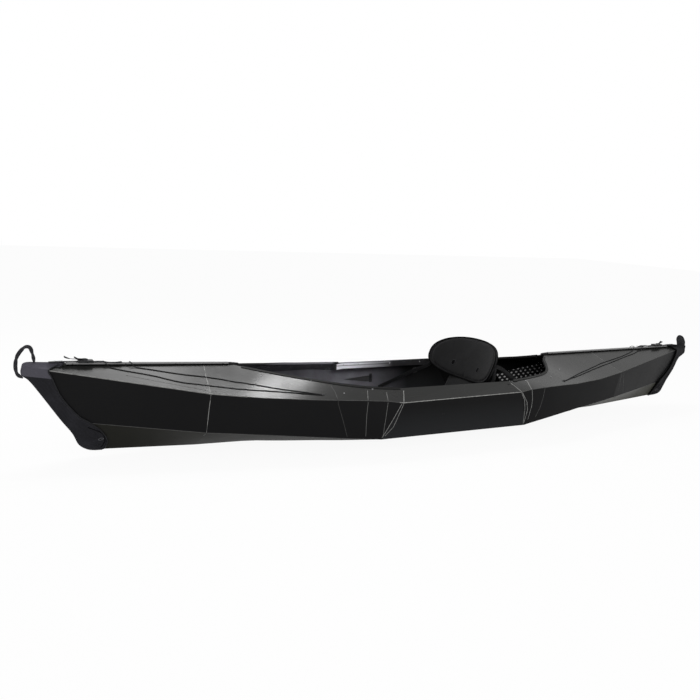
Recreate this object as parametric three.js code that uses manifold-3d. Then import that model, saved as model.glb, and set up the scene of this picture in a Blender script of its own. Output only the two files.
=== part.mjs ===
// A folding kayak: a hull creased out of one plastic sheet and held in shape by seam channels, trims and end caps.
// Millimetres, +Z up, bow towards -X, port towards -Y. The flat of the bottom rests on z = 0.
import * as THREE from "three";
import { mergeVertices } from "three/addons/utils/BufferGeometryUtils.js";
import Module from "manifold-3d";

const wasm = await Module();
wasm.setup();

// Overall sizes
const halfLength = 1840;
const halfBeam = 370;
const halfBottom = 315;
const rimHalfWidth = 306;
const chineHeight = 50;
const gunwaleHeight = 229;
const rimHeight = 275;
const bowRidgeHeight = 384.6;
const frontTipHeight = 354.5;
const rearTipHeight = 331;
const sternRidgeHeight = 341;

// The sheet and its creases
const sheet = 4.5;
const gap = 0.3;
const flangeHeight = 9;
const ridgeHalf = sheet + gap / 2;
const cutOverrun = 40;
const samePoint = 0.001;
const longestMitre = 3;

// Stations run from 0 at the bow end to 5 at the stern end. 1 and 4 are the end folds, 2 and 3 the middle folds.
// Each row is a station, then how far along, across and up the line is, as shares of its three sizes.
const gunwaleShares = [
  [0, -0.9783, 0.0405, 1.638],
  [1, -0.624, 0.543, 1.205],
  [1.25, -0.513, 0.684, 1.127],
  [1.5, -0.402, 0.816, 1.085],
  [1.75, -0.291, 0.932, 1.057],
  [1.9, -0.225, 0.986, 1.031],
  [2, -0.181, 1, 0.98],
  [3, 0.173, 1, 1.02],
  [3.07, 0.204, 0.993, 1.055],
  [3.25, 0.283, 0.943, 1.068],
  [3.5, 0.392, 0.827, 1.042],
  [3.75, 0.503, 0.692, 1.052],
  [4, 0.6125, 0.543, 1.118],
  [5, 0.9755, 0.035, 1.454],
];
const chineShares = [
  [0, -0.876, 0.04, 2.86],
  [1, -0.624, 0.476, 1.98],
  [1.25, -0.523, 0.632, 1.79],
  [1.5, -0.422, 0.775, 1.55],
  [1.75, -0.321, 0.905, 1.29],
  [1.9, -0.259, 0.97, 1.13],
  [2, -0.219, 1, 1.02],
  [3, 0.2163, 1, 1.08],
  [3.25, 0.3158, 0.927, 1.5],
  [3.5, 0.415, 0.813, 1.82],
  [3.75, 0.5147, 0.673, 2.03],
  [4, 0.614, 0.524, 2.22],
  [5, 0.8804, 0.041, 2.68],
];
const keelShares = [
  [0, -0.8457, 0, 0.5],
  [1, -0.6277, 0, 0.14],
  [1.5, -0.43, 0, 0.03],
  [2, -0.219, 0, 0],
  [3, 0.2163, 0, 0],
  [3.5, 0.415, 0, 0.16],
  [4, 0.614, 0, 0.42],
  [5, 0.863, 0, 1.18],
];
const rimShares = [
  [1.145, -0.537, 0.03, 1.284],
  [1.25, -0.487, 0.235, 1.231],
  [1.35, -0.435, 0.425, 1.178],
  [1.45, -0.393, 0.565, 1.142],
  [1.55, -0.353, 0.69, 1.109],
  [1.65, -0.315, 0.79, 1.076],
  [1.75, -0.272, 0.889, 1.047],
  [1.82, -0.245, 0.935, 1.031],
  [1.9, -0.212, 0.967, 1.018],
  [2, -0.1663, 1, 1],
  [3, 0.162, 1, 1],
  [3.07, 0.188, 0.94, 0.998],
  [3.14, 0.218, 0.885, 0.996],
  [3.22, 0.245, 0.833, 0.997],
  [3.3, 0.272, 0.785, 1],
  [3.38, 0.303, 0.724, 1.01],
  [3.45, 0.328, 0.645, 1.03],
  [3.5, 0.346, 0.55, 1.054],
  [3.55, 0.3635, 0.4, 1.088],
  [3.6, 0.385, 0.18, 1.148],
  [3.64, 0.409, 0.03, 1.196],
];
// Where along the length the two straight ridges start and end.
const bowRidgeEndShare = -0.9755;
const frontFoldRidgeShare = -0.61;
const frontTipShare = -0.549;
const rearTipShare = 0.421;
const rearFoldRidgeShare = 0.6;
const sternRidgeEndShare = 0.973;
// The stations at which the two decks part at the cockpit's tips.
const frontTipStationShare = 1.13;
const rearTipStationShare = 3.655;
// The stations at which the ridge flange starts, is whole, starts to fall and is gone.
const frontFlangeShares = [0.115, 0.135, 1.11, 1.13];
const rearFlangeShares = [3.655, 3.675, 4.855, 4.875];
// The bottom is flat between the inner bilge lines in the middle, and a plain V at the ends.
const innerBilgeShare = 0.32;
const outerBilgeShare = 0.66;
const outerBilgeRiseShare = 0.4;

const stationShares = [
  0, 0.115, 0.135, 0.4, 0.6, 0.8, 1, 1.07, 1.11, 1.13, 1.145, 1.2, 1.25, 1.3, 1.35, 1.4, 1.45, 1.5, 1.55, 1.6, 1.65, 1.7,
  1.75, 1.82, 1.9, 1.95, 2, 2.5, 3, 3.07, 3.14, 3.22, 3.3, 3.38, 3.45, 3.5, 3.55, 3.6, 3.64, 3.655, 3.675, 3.75, 3.87, 4, 4.2,
  4.4, 4.6, 4.855, 4.875, 5,
];
// The stations of the bow's end, the four folds and the stern's end.
const foldShares = [0, 1, 2, 3, 4, 5];
const [bowEndShare, bowFoldShare, frontFoldShare, rearFoldShare, sternFoldShare, sternEndShare] = foldShares;

// Lines of the hull

// A smooth curve through the rows of a table, broken at the folds.
function tableAt(table, station, column) {
  const first = table[0][0];
  const last = table[table.length - 1][0];
  const clamped = Math.min(Math.max(station, first), last);
  let k = 0;
  while (k < table.length - 2 && clamped > table[k + 1][0]) k += 1;
  const [a, b] = [table[k], table[k + 1]];
  const span = b[0] - a[0];
  const t = (clamped - a[0]) / span;
  const straight = (b[column] - a[column]) / span;
  const before = k > 0 && !foldShares.includes(a[0]) ? (b[column] - table[k - 1][column]) / (b[0] - table[k - 1][0]) : straight;
  const after =
    k < table.length - 2 && !foldShares.includes(b[0])
      ? (table[k + 2][column] - a[column]) / (table[k + 2][0] - a[0])
      : straight;
  const h00 = (1 + 2 * t) * (1 - t) * (1 - t);
  const h10 = t * (1 - t) * (1 - t);
  const h01 = t * t * (3 - 2 * t);
  const h11 = t * t * (t - 1);
  return h00 * a[column] + h10 * span * before + h01 * b[column] + h11 * span * after;
}

function tablePoint(table, station, across, up) {
  return new THREE.Vector3(
    tableAt(table, station, 1) * halfLength,
    tableAt(table, station, 2) * across,
    tableAt(table, station, 3) * up,
  );
}

const keelAt = (station) => tablePoint(keelShares, station, halfBottom, chineHeight);
const chineAt = (station) => tablePoint(chineShares, station, halfBottom, chineHeight);
const gunwaleAt = (station) => tablePoint(gunwaleShares, station, halfBeam, gunwaleHeight);

function ridgeHeightAt(x) {
  const share = x / halfLength;
  if (share < 0) {
    const t = (share - bowRidgeEndShare) / (frontTipShare - bowRidgeEndShare);
    return THREE.MathUtils.lerp(bowRidgeHeight, frontTipHeight, t);
  }
  const t = (share - rearTipShare) / (sternRidgeEndShare - rearTipShare);
  return THREE.MathUtils.lerp(rearTipHeight, sternRidgeHeight, t);
}

function ridgeAt(station) {
  let share;
  if (station <= bowFoldShare) {
    share = THREE.MathUtils.lerp(bowRidgeEndShare, frontFoldRidgeShare, station);
  } else if (station <= frontFoldShare) {
    const t = (station - bowFoldShare) / (frontTipStationShare - bowFoldShare);
    share = THREE.MathUtils.lerp(frontFoldRidgeShare, frontTipShare, t);
  } else if (station < sternFoldShare) {
    const t = (station - rearTipStationShare) / (sternFoldShare - rearTipStationShare);
    share = THREE.MathUtils.lerp(rearTipShare, rearFoldRidgeShare, t);
  } else {
    share = THREE.MathUtils.lerp(rearFoldRidgeShare, sternRidgeEndShare, station - sternFoldShare);
  }
  return new THREE.Vector3(share * halfLength, ridgeHalf, ridgeHeightAt(share * halfLength));
}

const onRidge = (station) => station <= frontTipStationShare || station >= rearTipStationShare;

function deckEdgeAt(station) {
  return onRidge(station) ? ridgeAt(station) : tablePoint(rimShares, station, rimHalfWidth, rimHeight);
}

function hasFlange(station) {
  const front = station >= frontFlangeShares[1] && station <= frontFlangeShares[2];
  const rear = station >= rearFlangeShares[1] && station <= rearFlangeShares[2];
  return front || rear;
}

// How flat the bottom is: 1 in the middle, 0 beyond the end folds.
function flatnessAt(station) {
  const front = THREE.MathUtils.smoothstep(station, bowFoldShare, frontFoldShare);
  const rear = 1 - THREE.MathUtils.smoothstep(station, rearFoldShare, sternFoldShare);
  return Math.min(front, rear);
}

function bottomAt(station, share) {
  const keel = keelAt(station);
  const chine = chineAt(station);
  const flatRise = share < outerBilgeShare ? 0 : outerBilgeRiseShare;
  const rise = THREE.MathUtils.lerp(share, flatRise, flatnessAt(station));
  const point = keel.clone().lerp(chine, share);
  point.z = THREE.MathUtils.lerp(keel.z, chine.z, rise);
  return point;
}

const lines = {
  keel: stationShares.map(keelAt),
  innerBilge: stationShares.map((s) => bottomAt(s, innerBilgeShare)),
  outerBilge: stationShares.map((s) => bottomAt(s, outerBilgeShare)),
  chine: stationShares.map(chineAt),
  gunwale: stationShares.map(gunwaleAt),
  shoulder: stationShares.map(deckEdgeAt),
};
lines.crest = stationShares.map((s, i) => {
  const crest = lines.shoulder[i].clone();
  if (hasFlange(s)) crest.z += flangeHeight;
  return crest;
});

// Offsets into the hull

const strips = [
  ["keel", "innerBilge"],
  ["innerBilge", "outerBilge"],
  ["outerBilge", "chine"],
  ["chine", "gunwale"],
  ["gunwale", "shoulder"],
  ["shoulder", "crest"],
];

// Which way the inside of the hull lies from each strip on the starboard side.
const upIn = new THREE.Vector3(0, -1, 1);
const insideOf = {
  keel: upIn,
  innerBilge: upIn,
  outerBilge: upIn,
  chine: new THREE.Vector3(0, -1, 0),
  gunwale: new THREE.Vector3(0, -1, -2),
  shoulder: new THREE.Vector3(0, -1, 0),
};

function cellNormal(a, b, row) {
  const along = lines[a][row + 1].clone().sub(lines[b][row]);
  const across = lines[b][row + 1].clone().sub(lines[a][row]);
  const normal = along.cross(across);
  if (normal.length() < samePoint) return null;
  normal.normalize();
  return normal.dot(insideOf[a]) < 0 ? normal.negate() : normal;
}

function stripNormals(a, b) {
  const cells = stationShares.slice(1).map((_, row) => cellNormal(a, b, row));
  return stationShares.map((_, row) => {
    const sum = new THREE.Vector3();
    if (row > 0 && cells[row - 1]) sum.add(cells[row - 1]);
    if (row < cells.length && cells[row]) sum.add(cells[row]);
    return sum.length() < samePoint ? null : sum.normalize();
  });
}

const normals = Object.fromEntries(strips.map(([a, b]) => [a, stripNormals(a, b)]));

// The offset for a unit of thickness at a crease between two strips.
function mitre(first, second) {
  if (!first) return second.clone();
  if (!second) return first.clone();
  return first
    .clone()
    .add(second)
    .multiplyScalar(1 / (1 + first.dot(second)));
}

function offsetsOf(line, row) {
  const station = stationShares[row];
  if (line === "keel") {
    const own = normals.keel[row];
    return mitre(own, new THREE.Vector3(own.x, -own.y, own.z)).clampLength(0, longestMitre);
  }
  if (line === "innerBilge") return mitre(normals.keel[row], normals.innerBilge[row]);
  if (line === "outerBilge") return mitre(normals.innerBilge[row], normals.outerBilge[row]);
  if (line === "chine") return mitre(normals.outerBilge[row], normals.chine[row]);
  if (line === "gunwale") return mitre(normals.chine[row], normals.gunwale[row]);
  if (!hasFlange(station)) return normals.gunwale[row].clone();
  const toMiddle = new THREE.Vector3(0, -1, 0);
  return line === "shoulder" ? mitre(normals.gunwale[row], toMiddle) : toMiddle;
}

const offsets = Object.fromEntries(
  Object.keys(lines).map((line) => [line, stationShares.map((_, row) => offsetsOf(line, row))]),
);

function pointIn(line, row, depth, side) {
  const point = lines[line][row].clone().addScaledVector(offsets[line][row], depth);
  point.y = Math.max(point.y, gap / 2) * side;
  return point;
}

// Solids

const material = (colour, roughness, metalness = 0) =>
  new THREE.MeshStandardMaterial({ color: colour, roughness, metalness });
const looks = {
  hull: material(0x202224, 0.42),
  deck: material(0x5a5e5e, 0.4),
  bottom: material(0x3a3c3c, 0.5),
  cap: material(0x2a2a30, 0.8),
  webbing: material(0x17171a, 0.9),
  channel: material(0x141415, 0.3),
  trim: material(0x121213, 0.45),
  bar: material(0xb9b6c6, 0.2, 0.4),
  board: material(0x2c2d2f, 0.6),
  pad: material(0x2b2b30, 0.85),
  buckle: material(0x1b1b1d, 0.4),
  cord: material(0x161617, 0.8),
};

function meshNamed(name, geometry, look) {
  const mesh = new THREE.Mesh(geometry, look.clone());
  mesh.name = name;
  geometry.computeVertexNormals();
  return mesh;
}

// A closed surface from corner positions and triangles, with its faces pointing out.
function closedGeometry(points, triangles) {
  const keys = new Map();
  const kept = [];
  const index = points.map((p) => {
    const key = [p.x, p.y, p.z].map((v) => Math.round(v / samePoint)).join(" ");
    if (!keys.has(key)) {
      keys.set(key, kept.length);
      kept.push(p);
    }
    return keys.get(key);
  });
  const faces = triangles
    .map((t) => t.map((i) => index[i]))
    .filter(([a, b, c]) => a !== b && b !== c && c !== a);
  let volume = 0;
  for (const [a, b, c] of faces) volume += kept[a].dot(kept[b].clone().cross(kept[c]));
  if (volume < 0) faces.forEach((f) => f.reverse());
  const geometry = new THREE.BufferGeometry();
  geometry.setAttribute("position", new THREE.Float32BufferAttribute(kept.flatMap((p) => p.toArray()), 3));
  geometry.setIndex(faces.flat());
  return geometry;
}

// A plate between two grids of points, rows along the hull and columns round it. A cell is split from its first
// corner to the opposite one, or the other way where it is flipped, so that plates that nest are split alike.
function plateGeometry(outer, inner, flipped = []) {
  const rows = outer.length;
  const last = outer[0].length - 1;
  const at = (layer, i, j) => (layer * rows + i) * (last + 1) + j;
  const triangles = [];
  const quad = (a, b, c, d) => triangles.push([a, b, c], [a, c, d]);
  for (let i = 0; i < rows - 1; i += 1) {
    for (let j = 0; j < last; j += 1) {
      const cell = (layer) => [at(layer, i, j), at(layer, i + 1, j), at(layer, i + 1, j + 1), at(layer, i, j + 1)];
      const [a, b, c, d] = cell(0);
      const [e, f, g, h] = cell(1);
      if (flipped[j]) {
        quad(b, c, d, a);
        quad(h, g, f, e);
      } else {
        quad(a, b, c, d);
        quad(e, h, g, f);
      }
    }
    quad(at(0, i, 0), at(1, i, 0), at(1, i + 1, 0), at(0, i + 1, 0));
    quad(at(0, i, last), at(0, i + 1, last), at(1, i + 1, last), at(1, i, last));
  }
  for (let j = 0; j < last; j += 1) {
    quad(at(0, 0, j), at(0, 0, j + 1), at(1, 0, j + 1), at(1, 0, j));
    quad(at(0, rows - 1, j), at(1, rows - 1, j), at(1, rows - 1, j + 1), at(0, rows - 1, j + 1));
  }
  return closedGeometry([...outer.flat(), ...inner.flat()], triangles);
}

function pullBack(edge, towards, distance) {
  const step = towards.clone().sub(edge);
  const length = step.length();
  return length < samePoint ? edge.clone() : edge.clone().addScaledVector(step, distance / length);
}

// Draws the edges of a grid in by half a gap, so that neighbouring panels stay clear of each other.
function drawnIn(grid, edges) {
  const half = gap / 2;
  let result = grid.map((row) => row.map((p) => p.clone()));
  const last = grid[0].length - 1;
  result = result.map((row) => {
    const out = row.map((p) => p.clone());
    if (edges.first) out[0] = pullBack(row[0], row[1], half);
    if (edges.last) out[last] = pullBack(row[last], row[last - 1], half);
    return out;
  });
  const end = result.length - 1;
  const start = result[0].map((p, j) => pullBack(p, result[1][j], half));
  const finish = result[end].map((p, j) => pullBack(p, result[end - 1][j], half));
  result[0] = start;
  result[end] = finish;
  return result;
}

const rowsBetween = (from, to) => stationShares.map((s, row) => [s, row]).filter(([s]) => s >= from && s <= to);

// One flat or curved panel of the sheet. Columns are pairs of a line's name and its side, 1 for starboard.
function sheetPanel(name, from, to, columns, edges, look, depths = [0, sheet]) {
  const grids = depths.map((depth) =>
    drawnIn(
      rowsBetween(from, to).map(([, row]) => columns.map(([line, side]) => pointIn(line, row, depth, side))),
      edges,
    ),
  );
  const flipped = columns.map(([, side]) => side < 0 && columns[columns.length - 1][1] > 0);
  return meshNamed(name, plateGeometry(grids[0], grids[1], flipped), look);
}

function toManifold(geometry) {
  const plain = geometry.clone();
  plain.deleteAttribute("normal");
  plain.deleteAttribute("uv");
  const merged = mergeVertices(plain, samePoint);
  return new wasm.Manifold(
    new wasm.Mesh({
      numProp: 3,
      vertProperties: new Float32Array(merged.attributes.position.array),
      triVerts: new Uint32Array(merged.index.array),
    }),
  );
}

function toGeometry(solid) {
  const mesh = solid.getMesh();
  const geometry = new THREE.BufferGeometry();
  geometry.setAttribute("position", new THREE.BufferAttribute(mesh.vertProperties, 3));
  geometry.setIndex(new THREE.BufferAttribute(mesh.triVerts, 1));
  return geometry;
}

// A solid swept through rings of points, each ring a flat outline with the same corners.
function ringsGeometry(rings, outline, closed = false) {
  const corners = outline.length;
  const triangles = [];
  const count = closed ? rings.length : rings.length - 1;
  for (let i = 0; i < count; i += 1) {
    const next = (i + 1) % rings.length;
    for (let j = 0; j < corners; j += 1) {
      const k = (j + 1) % corners;
      triangles.push([i * corners + j, i * corners + k, next * corners + k]);
      triangles.push([i * corners + j, next * corners + k, next * corners + j]);
    }
  }
  if (!closed) {
    const cap = THREE.ShapeUtils.triangulateShape(outline, []);
    const end = (rings.length - 1) * corners;
    for (const [a, b, c] of cap) {
      const [first, second] = THREE.ShapeUtils.isClockWise(outline) ? [b, a] : [a, b];
      triangles.push([second, first, c], [end + first, end + second, end + c]);
    }
  }
  return closedGeometry(rings.flat(), triangles);
}

// A block through the boat, from an outline seen from the port side.
function sideBlock(outline, halfWidth) {
  const shape = new THREE.Shape(outline.map(([x, z]) => new THREE.Vector2(x, z)));
  const geometry = new THREE.ExtrudeGeometry(shape, { depth: 2 * halfWidth, bevelEnabled: false });
  geometry.rotateX(Math.PI / 2);
  geometry.translate(0, halfWidth, 0);
  return geometry;
}

function boxAt(lengthX, widthY, heightZ, x, y, z) {
  const geometry = new THREE.BoxGeometry(lengthX, widthY, heightZ);
  geometry.translate(x, y, z);
  return geometry;
}

const part = new THREE.Group();

// Hull panels

const sides = [
  ["port", -1],
  ["starboard", 1],
];
const spans = ["bow", "front", "mid", "rear", "stern"].map((span, k) => [span, foldShares[k], foldShares[k + 1]]);
const both = { first: true, last: true };

function halfBottomPanel(name, from, to, side) {
  const columns = ["keel", "innerBilge", "outerBilge", "chine"].map((line) => [line, side]);
  return sheetPanel(name, from, to, columns, both, looks.bottom);
}

function addHull() {
  const across = ["outerBilge", "innerBilge"];
  const midColumns = [["chine", -1], ...across.map((l) => [l, -1]), ...across.reverse().map((l) => [l, 1]), ["chine", 1]];
  part.add(sheetPanel("mid_bottom", frontFoldShare, rearFoldShare, midColumns, both, looks.bottom));
  for (const [word, side] of sides) {
    for (const [span, from, to] of spans) {
      if (span !== "mid") part.add(halfBottomPanel(span + "_bottom_" + word, from, to, side));
      const sideColumns = [
        ["chine", side],
        ["gunwale", side],
      ];
      const deckColumns = ["gunwale", "shoulder", "crest"].map((line) => [line, side]);
      part.add(sheetPanel(span + "_side_" + word, from, to, sideColumns, both, looks.hull));
      const deckLines = span === "mid" ? deckColumns.slice(0, 2) : deckColumns;
      part.add(sheetPanel(span + "_deck_" + word, from, to, deckLines, { first: true, last: false }, looks.deck));
    }
  }
}

// End caps: fabric-covered shells that clasp each end of the hull.

const capWall = 3;
const capClearance = 0.6;
const capEdgeHalf = 2.5;
// How far up the caps' outlines and the handles are measured, as shares of the ridge's height at that end.
const bowTop = 1.04 * bowRidgeHeight;
const sternTop = 1.173 * sternRidgeHeight;
const capLead = 4;
const noseLeads = [130, 65];
const capReachShare = 0.6;
// The outlines run from the top of the nose down the stem and back along the rear edge, seen from the port side.
const bowCap = {
  foldShare: bowFoldShare,
  tipShare: bowEndShare,
  top: bowTop,
  crown: 10,
  outlineShares: [
    [-0.9989, 1.1],
    [-0.9989, 0.995],
    [-1.0033, 0.935],
    [-1.0027, 0.872],
    [-0.988, 0.812],
    [-0.9663, 0.675],
    [-0.8984, 0.27],
    [-0.886, 0.138],
    [-0.8745, 0.09],
    [-0.857, 0.045],
    [-0.838, 0.03],
    [-0.8297, 0.1],
    [-0.829, 0.17],
    [-0.843, 0.27],
    [-0.8647, 0.3575],
    [-0.8875, 0.4275],
    [-0.9082, 0.535],
    [-0.9283, 0.6725],
    [-0.944, 0.8475],
    [-0.9489, 0.9275],
    [-0.9152, 0.975],
    [-0.9152, 1.1],
  ],
};
const sternCap = {
  foldShare: sternFoldShare,
  tipShare: sternEndShare,
  top: sternTop,
  crown: 8,
  outlineShares: [
    [1.0011, 1.1],
    [1.0011, 0.88],
    [1.0027, 0.825],
    [1.0022, 0.755],
    [0.9788, 0.69],
    [0.9582, 0.5125],
    [0.9348, 0.3625],
    [0.919, 0.2425],
    [0.9092, 0.1775],
    [0.894, 0.15],
    [0.8707, 0.125],
    [0.8516, 0.13],
    [0.8516, 0.1825],
    [0.857, 0.265],
    [0.8728, 0.3725],
    [0.9087, 0.49],
    [0.9293, 0.625],
    [0.944, 0.795],
    [0.92, 0.875],
    [0.92, 1.1],
  ],
};

// A corner of the hull's end: on its line at a row, or ahead of the tip by a lead, and grown by a distance.
function endPoint(end, line, row, lead, grow) {
  const tipRow = stationShares.indexOf(end.tipShare);
  const foldRow = stationShares.indexOf(end.foldShare);
  const point = lines[line][row].clone();
  if (lead > 0) {
    const ahead = lines[line][tipRow].clone().sub(lines[line][foldRow]).normalize();
    point.addScaledVector(ahead, lead);
    if (line !== "keel") point.y = Math.max(point.y, capEdgeHalf);
  }
  if (line === "crest") return point.add(new THREE.Vector3(0, grow, grow));
  return point.addScaledVector(offsets[line][row], -grow);
}

// One side of the hull's end as a solid, closed along the middle of the boat.
function endHalf(end, names, leads, grow, crown, side) {
  const tipRow = stationShares.indexOf(end.tipShare);
  const rows = stationShares
    .map((s, row) => [Math.abs(s - end.tipShare), row])
    .filter(([away]) => away <= capReachShare + samePoint)
    .map(([, row]) => [row, 0]);
  const ahead = leads.map((lead) => [tipRow, lead]);
  const order = end.tipShare === bowEndShare ? [...ahead, ...rows] : [...rows, ...ahead.reverse()];
  const skin = order.map(([row, lead]) => {
    const corners = names.map((line) => endPoint(end, line, row, lead, grow));
    const top = corners[corners.length - 1].clone();
    top.z += crown;
    corners.push(top);
    corners[0].y = 0;
    top.y = 0;
    corners.forEach((p) => (p.y *= side));
    return corners;
  });
  const middle = skin.map((corners) => corners.map((p) => new THREE.Vector3(p.x, 0, p.z)));
  return toManifold(plateGeometry(skin, middle));
}

function endSolid(end, names, leads, grow, crown) {
  return endHalf(end, names, leads, grow, crown, 1).add(endHalf(end, names, leads, grow, crown, -1));
}

function capMesh(name, end) {
  const outline = end.outlineShares.map(([along, up]) => [along * halfLength, up * end.top]);
  const skin = ["keel", "innerBilge", "outerBilge", "chine", "gunwale", "shoulder"];
  const outer = endSolid(end, skin, noseLeads, capWall + capClearance, end.crown);
  const shell = outer.intersect(toManifold(sideBlock(outline, halfBeam)));
  const room = endSolid(end, [...skin, "crest"], [capLead], capClearance, 0);
  return meshNamed(name, toGeometry(shell.subtract(room)), looks.cap);
}

// Seam channels: one on each ridge, gripping the two upturned flanges.

const channelWall = 1.6;
const channelLift = 0.5;
const channelHalf = ridgeHalf + gap + channelWall;
const channelTop = flangeHeight + gap + channelWall + gap;
const channelEndShares = { front: [-0.9135, -0.549], rear: [0.4266, 0.9135] };

function channelMesh(name, [fromShare, toShare]) {
  const slot = ridgeHalf + gap;
  const roof = flangeHeight + gap;
  const outline = [
    [channelHalf, channelLift],
    [channelHalf, channelTop],
    [-channelHalf, channelTop],
    [-channelHalf, channelLift],
    [-slot, channelLift],
    [-slot, roof],
    [slot, roof],
    [slot, channelLift],
  ].map(([y, z]) => new THREE.Vector2(y, z));
  const rings = [fromShare, toShare].map((share) => {
    const x = share * halfLength;
    return outline.map((p) => new THREE.Vector3(x, p.x, ridgeHeightAt(x) + p.y));
  });
  return meshNamed(name, ringsGeometry(rings, outline), looks.channel);
}

// Trims and bars that follow the cockpit rim.

const trimWall = 1.8;
const trimDepth = 10;
const trimLift = 0.6;
const trimRoom = sheet + 6 * gap;
const trimRunShares = { front: [1.18, 1.985], rear: [3.025, 3.625] };
const barRunShares = [2.01, 2.955];

// A line of the hull between its rows, as the straight pieces that the panels are made of.
function lineBetween(line, station) {
  let row = 0;
  while (row < stationShares.length - 2 && station > stationShares[row + 1]) row += 1;
  const t = (station - stationShares[row]) / (stationShares[row + 1] - stationShares[row]);
  return lines[line][row].clone().lerp(lines[line][row + 1], t);
}

// Axes at one of the places on the rim: down the deck towards the gunwale, and through the sheet to the inside.
function rimFrame(places, index) {
  const origin = lineBetween("shoulder", places[index]);
  const along = new THREE.Vector3();
  for (const other of [index - 1, index + 1]) {
    if (other < 0 || other >= places.length) continue;
    const step = lineBetween("shoulder", places[other]).sub(origin).normalize();
    along.addScaledVector(step, Math.sign(other - index));
  }
  along.normalize();
  const down = lineBetween("gunwale", places[index]).sub(origin);
  down.addScaledVector(along, -down.dot(along)).normalize();
  const inward = new THREE.Vector3().crossVectors(down, along);
  return { origin, down, inward };
}

function rimSweep(name, outlinePairs, [from, to], side, look) {
  const outline = outlinePairs.map(([a, b]) => new THREE.Vector2(a, b));
  const places = [from, ...stationShares.filter((s) => s > from && s < to), to];
  const rings = places.map((_, index) => {
    const frame = rimFrame(places, index);
    return outline.map((p) => {
      const point = frame.origin.clone().addScaledVector(frame.down, p.x).addScaledVector(frame.inward, p.y);
      point.y *= side;
      return point;
    });
  });
  return meshNamed(name, ringsGeometry(rings, outline), look);
}

const trimOutline = [
  [-gap - trimWall, -trimLift - trimWall],
  [trimDepth, -trimLift - trimWall],
  [trimDepth, -trimLift],
  [-gap, -trimLift],
  [-gap, trimRoom],
  [trimDepth, trimRoom],
  [trimDepth, trimRoom + trimWall],
  [-gap - trimWall, trimRoom + trimWall],
];
const barSeat = sheet + 4 * gap;
const barBack = 26;
const barDrop = 25;
const barReach = 11;
const barLip = 6.6;
const barTop = 3;
const barOutline = [
  [gap, barSeat],
  [barBack, barSeat],
  [barBack, barSeat + barReach],
  [barReach, barSeat + barDrop],
  [-barLip, barSeat + barTop],
];

function addRimPieces() {
  for (const [word, side] of sides) {
    part.add(rimSweep("front_trim_" + word, trimOutline, trimRunShares.front, side, looks.trim));
    part.add(rimSweep("rear_trim_" + word, trimOutline, trimRunShares.rear, side, looks.trim));
    part.add(rimSweep("rim_bar_" + word, barOutline, barRunShares, side, looks.bar));
  }
}

// Floorboard with two upturned wings behind the seat.

const boardSheet = 4;
const boardDepths = [sheet + gap, sheet + gap + boardSheet];
const boardRunShares = [1.4, 3.75];
const wingRunShares = [3.38, 3.75];
// The wing's top edge at each end of its run, as shares of the half length, half beam and rim height.
const wingTopShares = [
  [0.335, 0.56, 0.69],
  [0.52, 0.53, 0.92],
];

function wingMesh(name, side) {
  const rows = rowsBetween(wingRunShares[0], wingRunShares[1]);
  const grids = boardDepths.map((depth) =>
    rows.map(([s, row]) => {
      const t = (s - wingRunShares[0]) / (wingRunShares[1] - wingRunShares[0]);
      const foot = pointIn("outerBilge", row, boardDepths[1], side);
      foot.addScaledVector(offsets.outerBilge[row], gap);
      foot.y = (Math.abs(foot.y) - depth + boardDepths[0]) * side;
      const top = new THREE.Vector3(...wingTopShares[0]).lerp(new THREE.Vector3(...wingTopShares[1]), t);
      top.multiply(new THREE.Vector3(halfLength, halfBeam, rimHeight));
      top.y = (top.y - depth + boardDepths[0]) * side;
      return [foot, top];
    }),
  );
  return meshNamed(name, plateGeometry(grids[0], grids[1]), looks.board);
}

function addFloor() {
  const half = ["outerBilge", "innerBilge"];
  const columns = [...half.map((l) => [l, -1]), ["keel", 1], ...half.reverse().map((l) => [l, 1])];
  part.add(sheetPanel("floorboard", boardRunShares[0], boardRunShares[1], columns, both, looks.board, boardDepths));
  for (const [word, side] of sides) part.add(wingMesh("floorboard_wing_" + word, side));
}

// The top of the floorboard over the flat middle of the boat.
const floorTop = sheet + gap + boardSheet;


// Soft and loose pieces

// A round or oval rod along a path in the upright plane through the boat's middle, with domed ends.
const domeSteps = 3;
const handleSides = 10;

function rodRings(path, steps, inPlane, across) {
  const curve = new THREE.CatmullRomCurve3(path, false, "centripetal");
  const rings = [];
  const ringAt = (u, share, shift) => {
    const centre = curve.getPointAt(u);
    const tangent = curve.getTangentAt(u);
    const out = new THREE.Vector3(-tangent.z, 0, tangent.x);
    centre.addScaledVector(tangent, shift);
    const ring = [];
    for (let k = 0; k < handleSides; k += 1) {
      const angle = (k / handleSides) * 2 * Math.PI;
      const point = centre.clone().addScaledVector(out, Math.cos(angle) * inPlane * share);
      point.y += Math.sin(angle) * across * share;
      ring.push(point);
    }
    return ring;
  };
  for (let k = 0; k < domeSteps; k += 1) {
    const angle = ((k + 1) / (domeSteps + 1)) * (Math.PI / 2);
    rings.push(ringAt(0, Math.sin(angle), -Math.cos(angle) * inPlane));
  }
  for (let k = 0; k <= steps; k += 1) rings.push(ringAt(k / steps, 1, 0));
  for (let k = domeSteps - 1; k >= 0; k -= 1) {
    const angle = ((k + 1) / (domeSteps + 1)) * (Math.PI / 2);
    rings.push(ringAt(1, Math.sin(angle), Math.cos(angle) * inPlane));
  }
  return rings;
}

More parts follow.
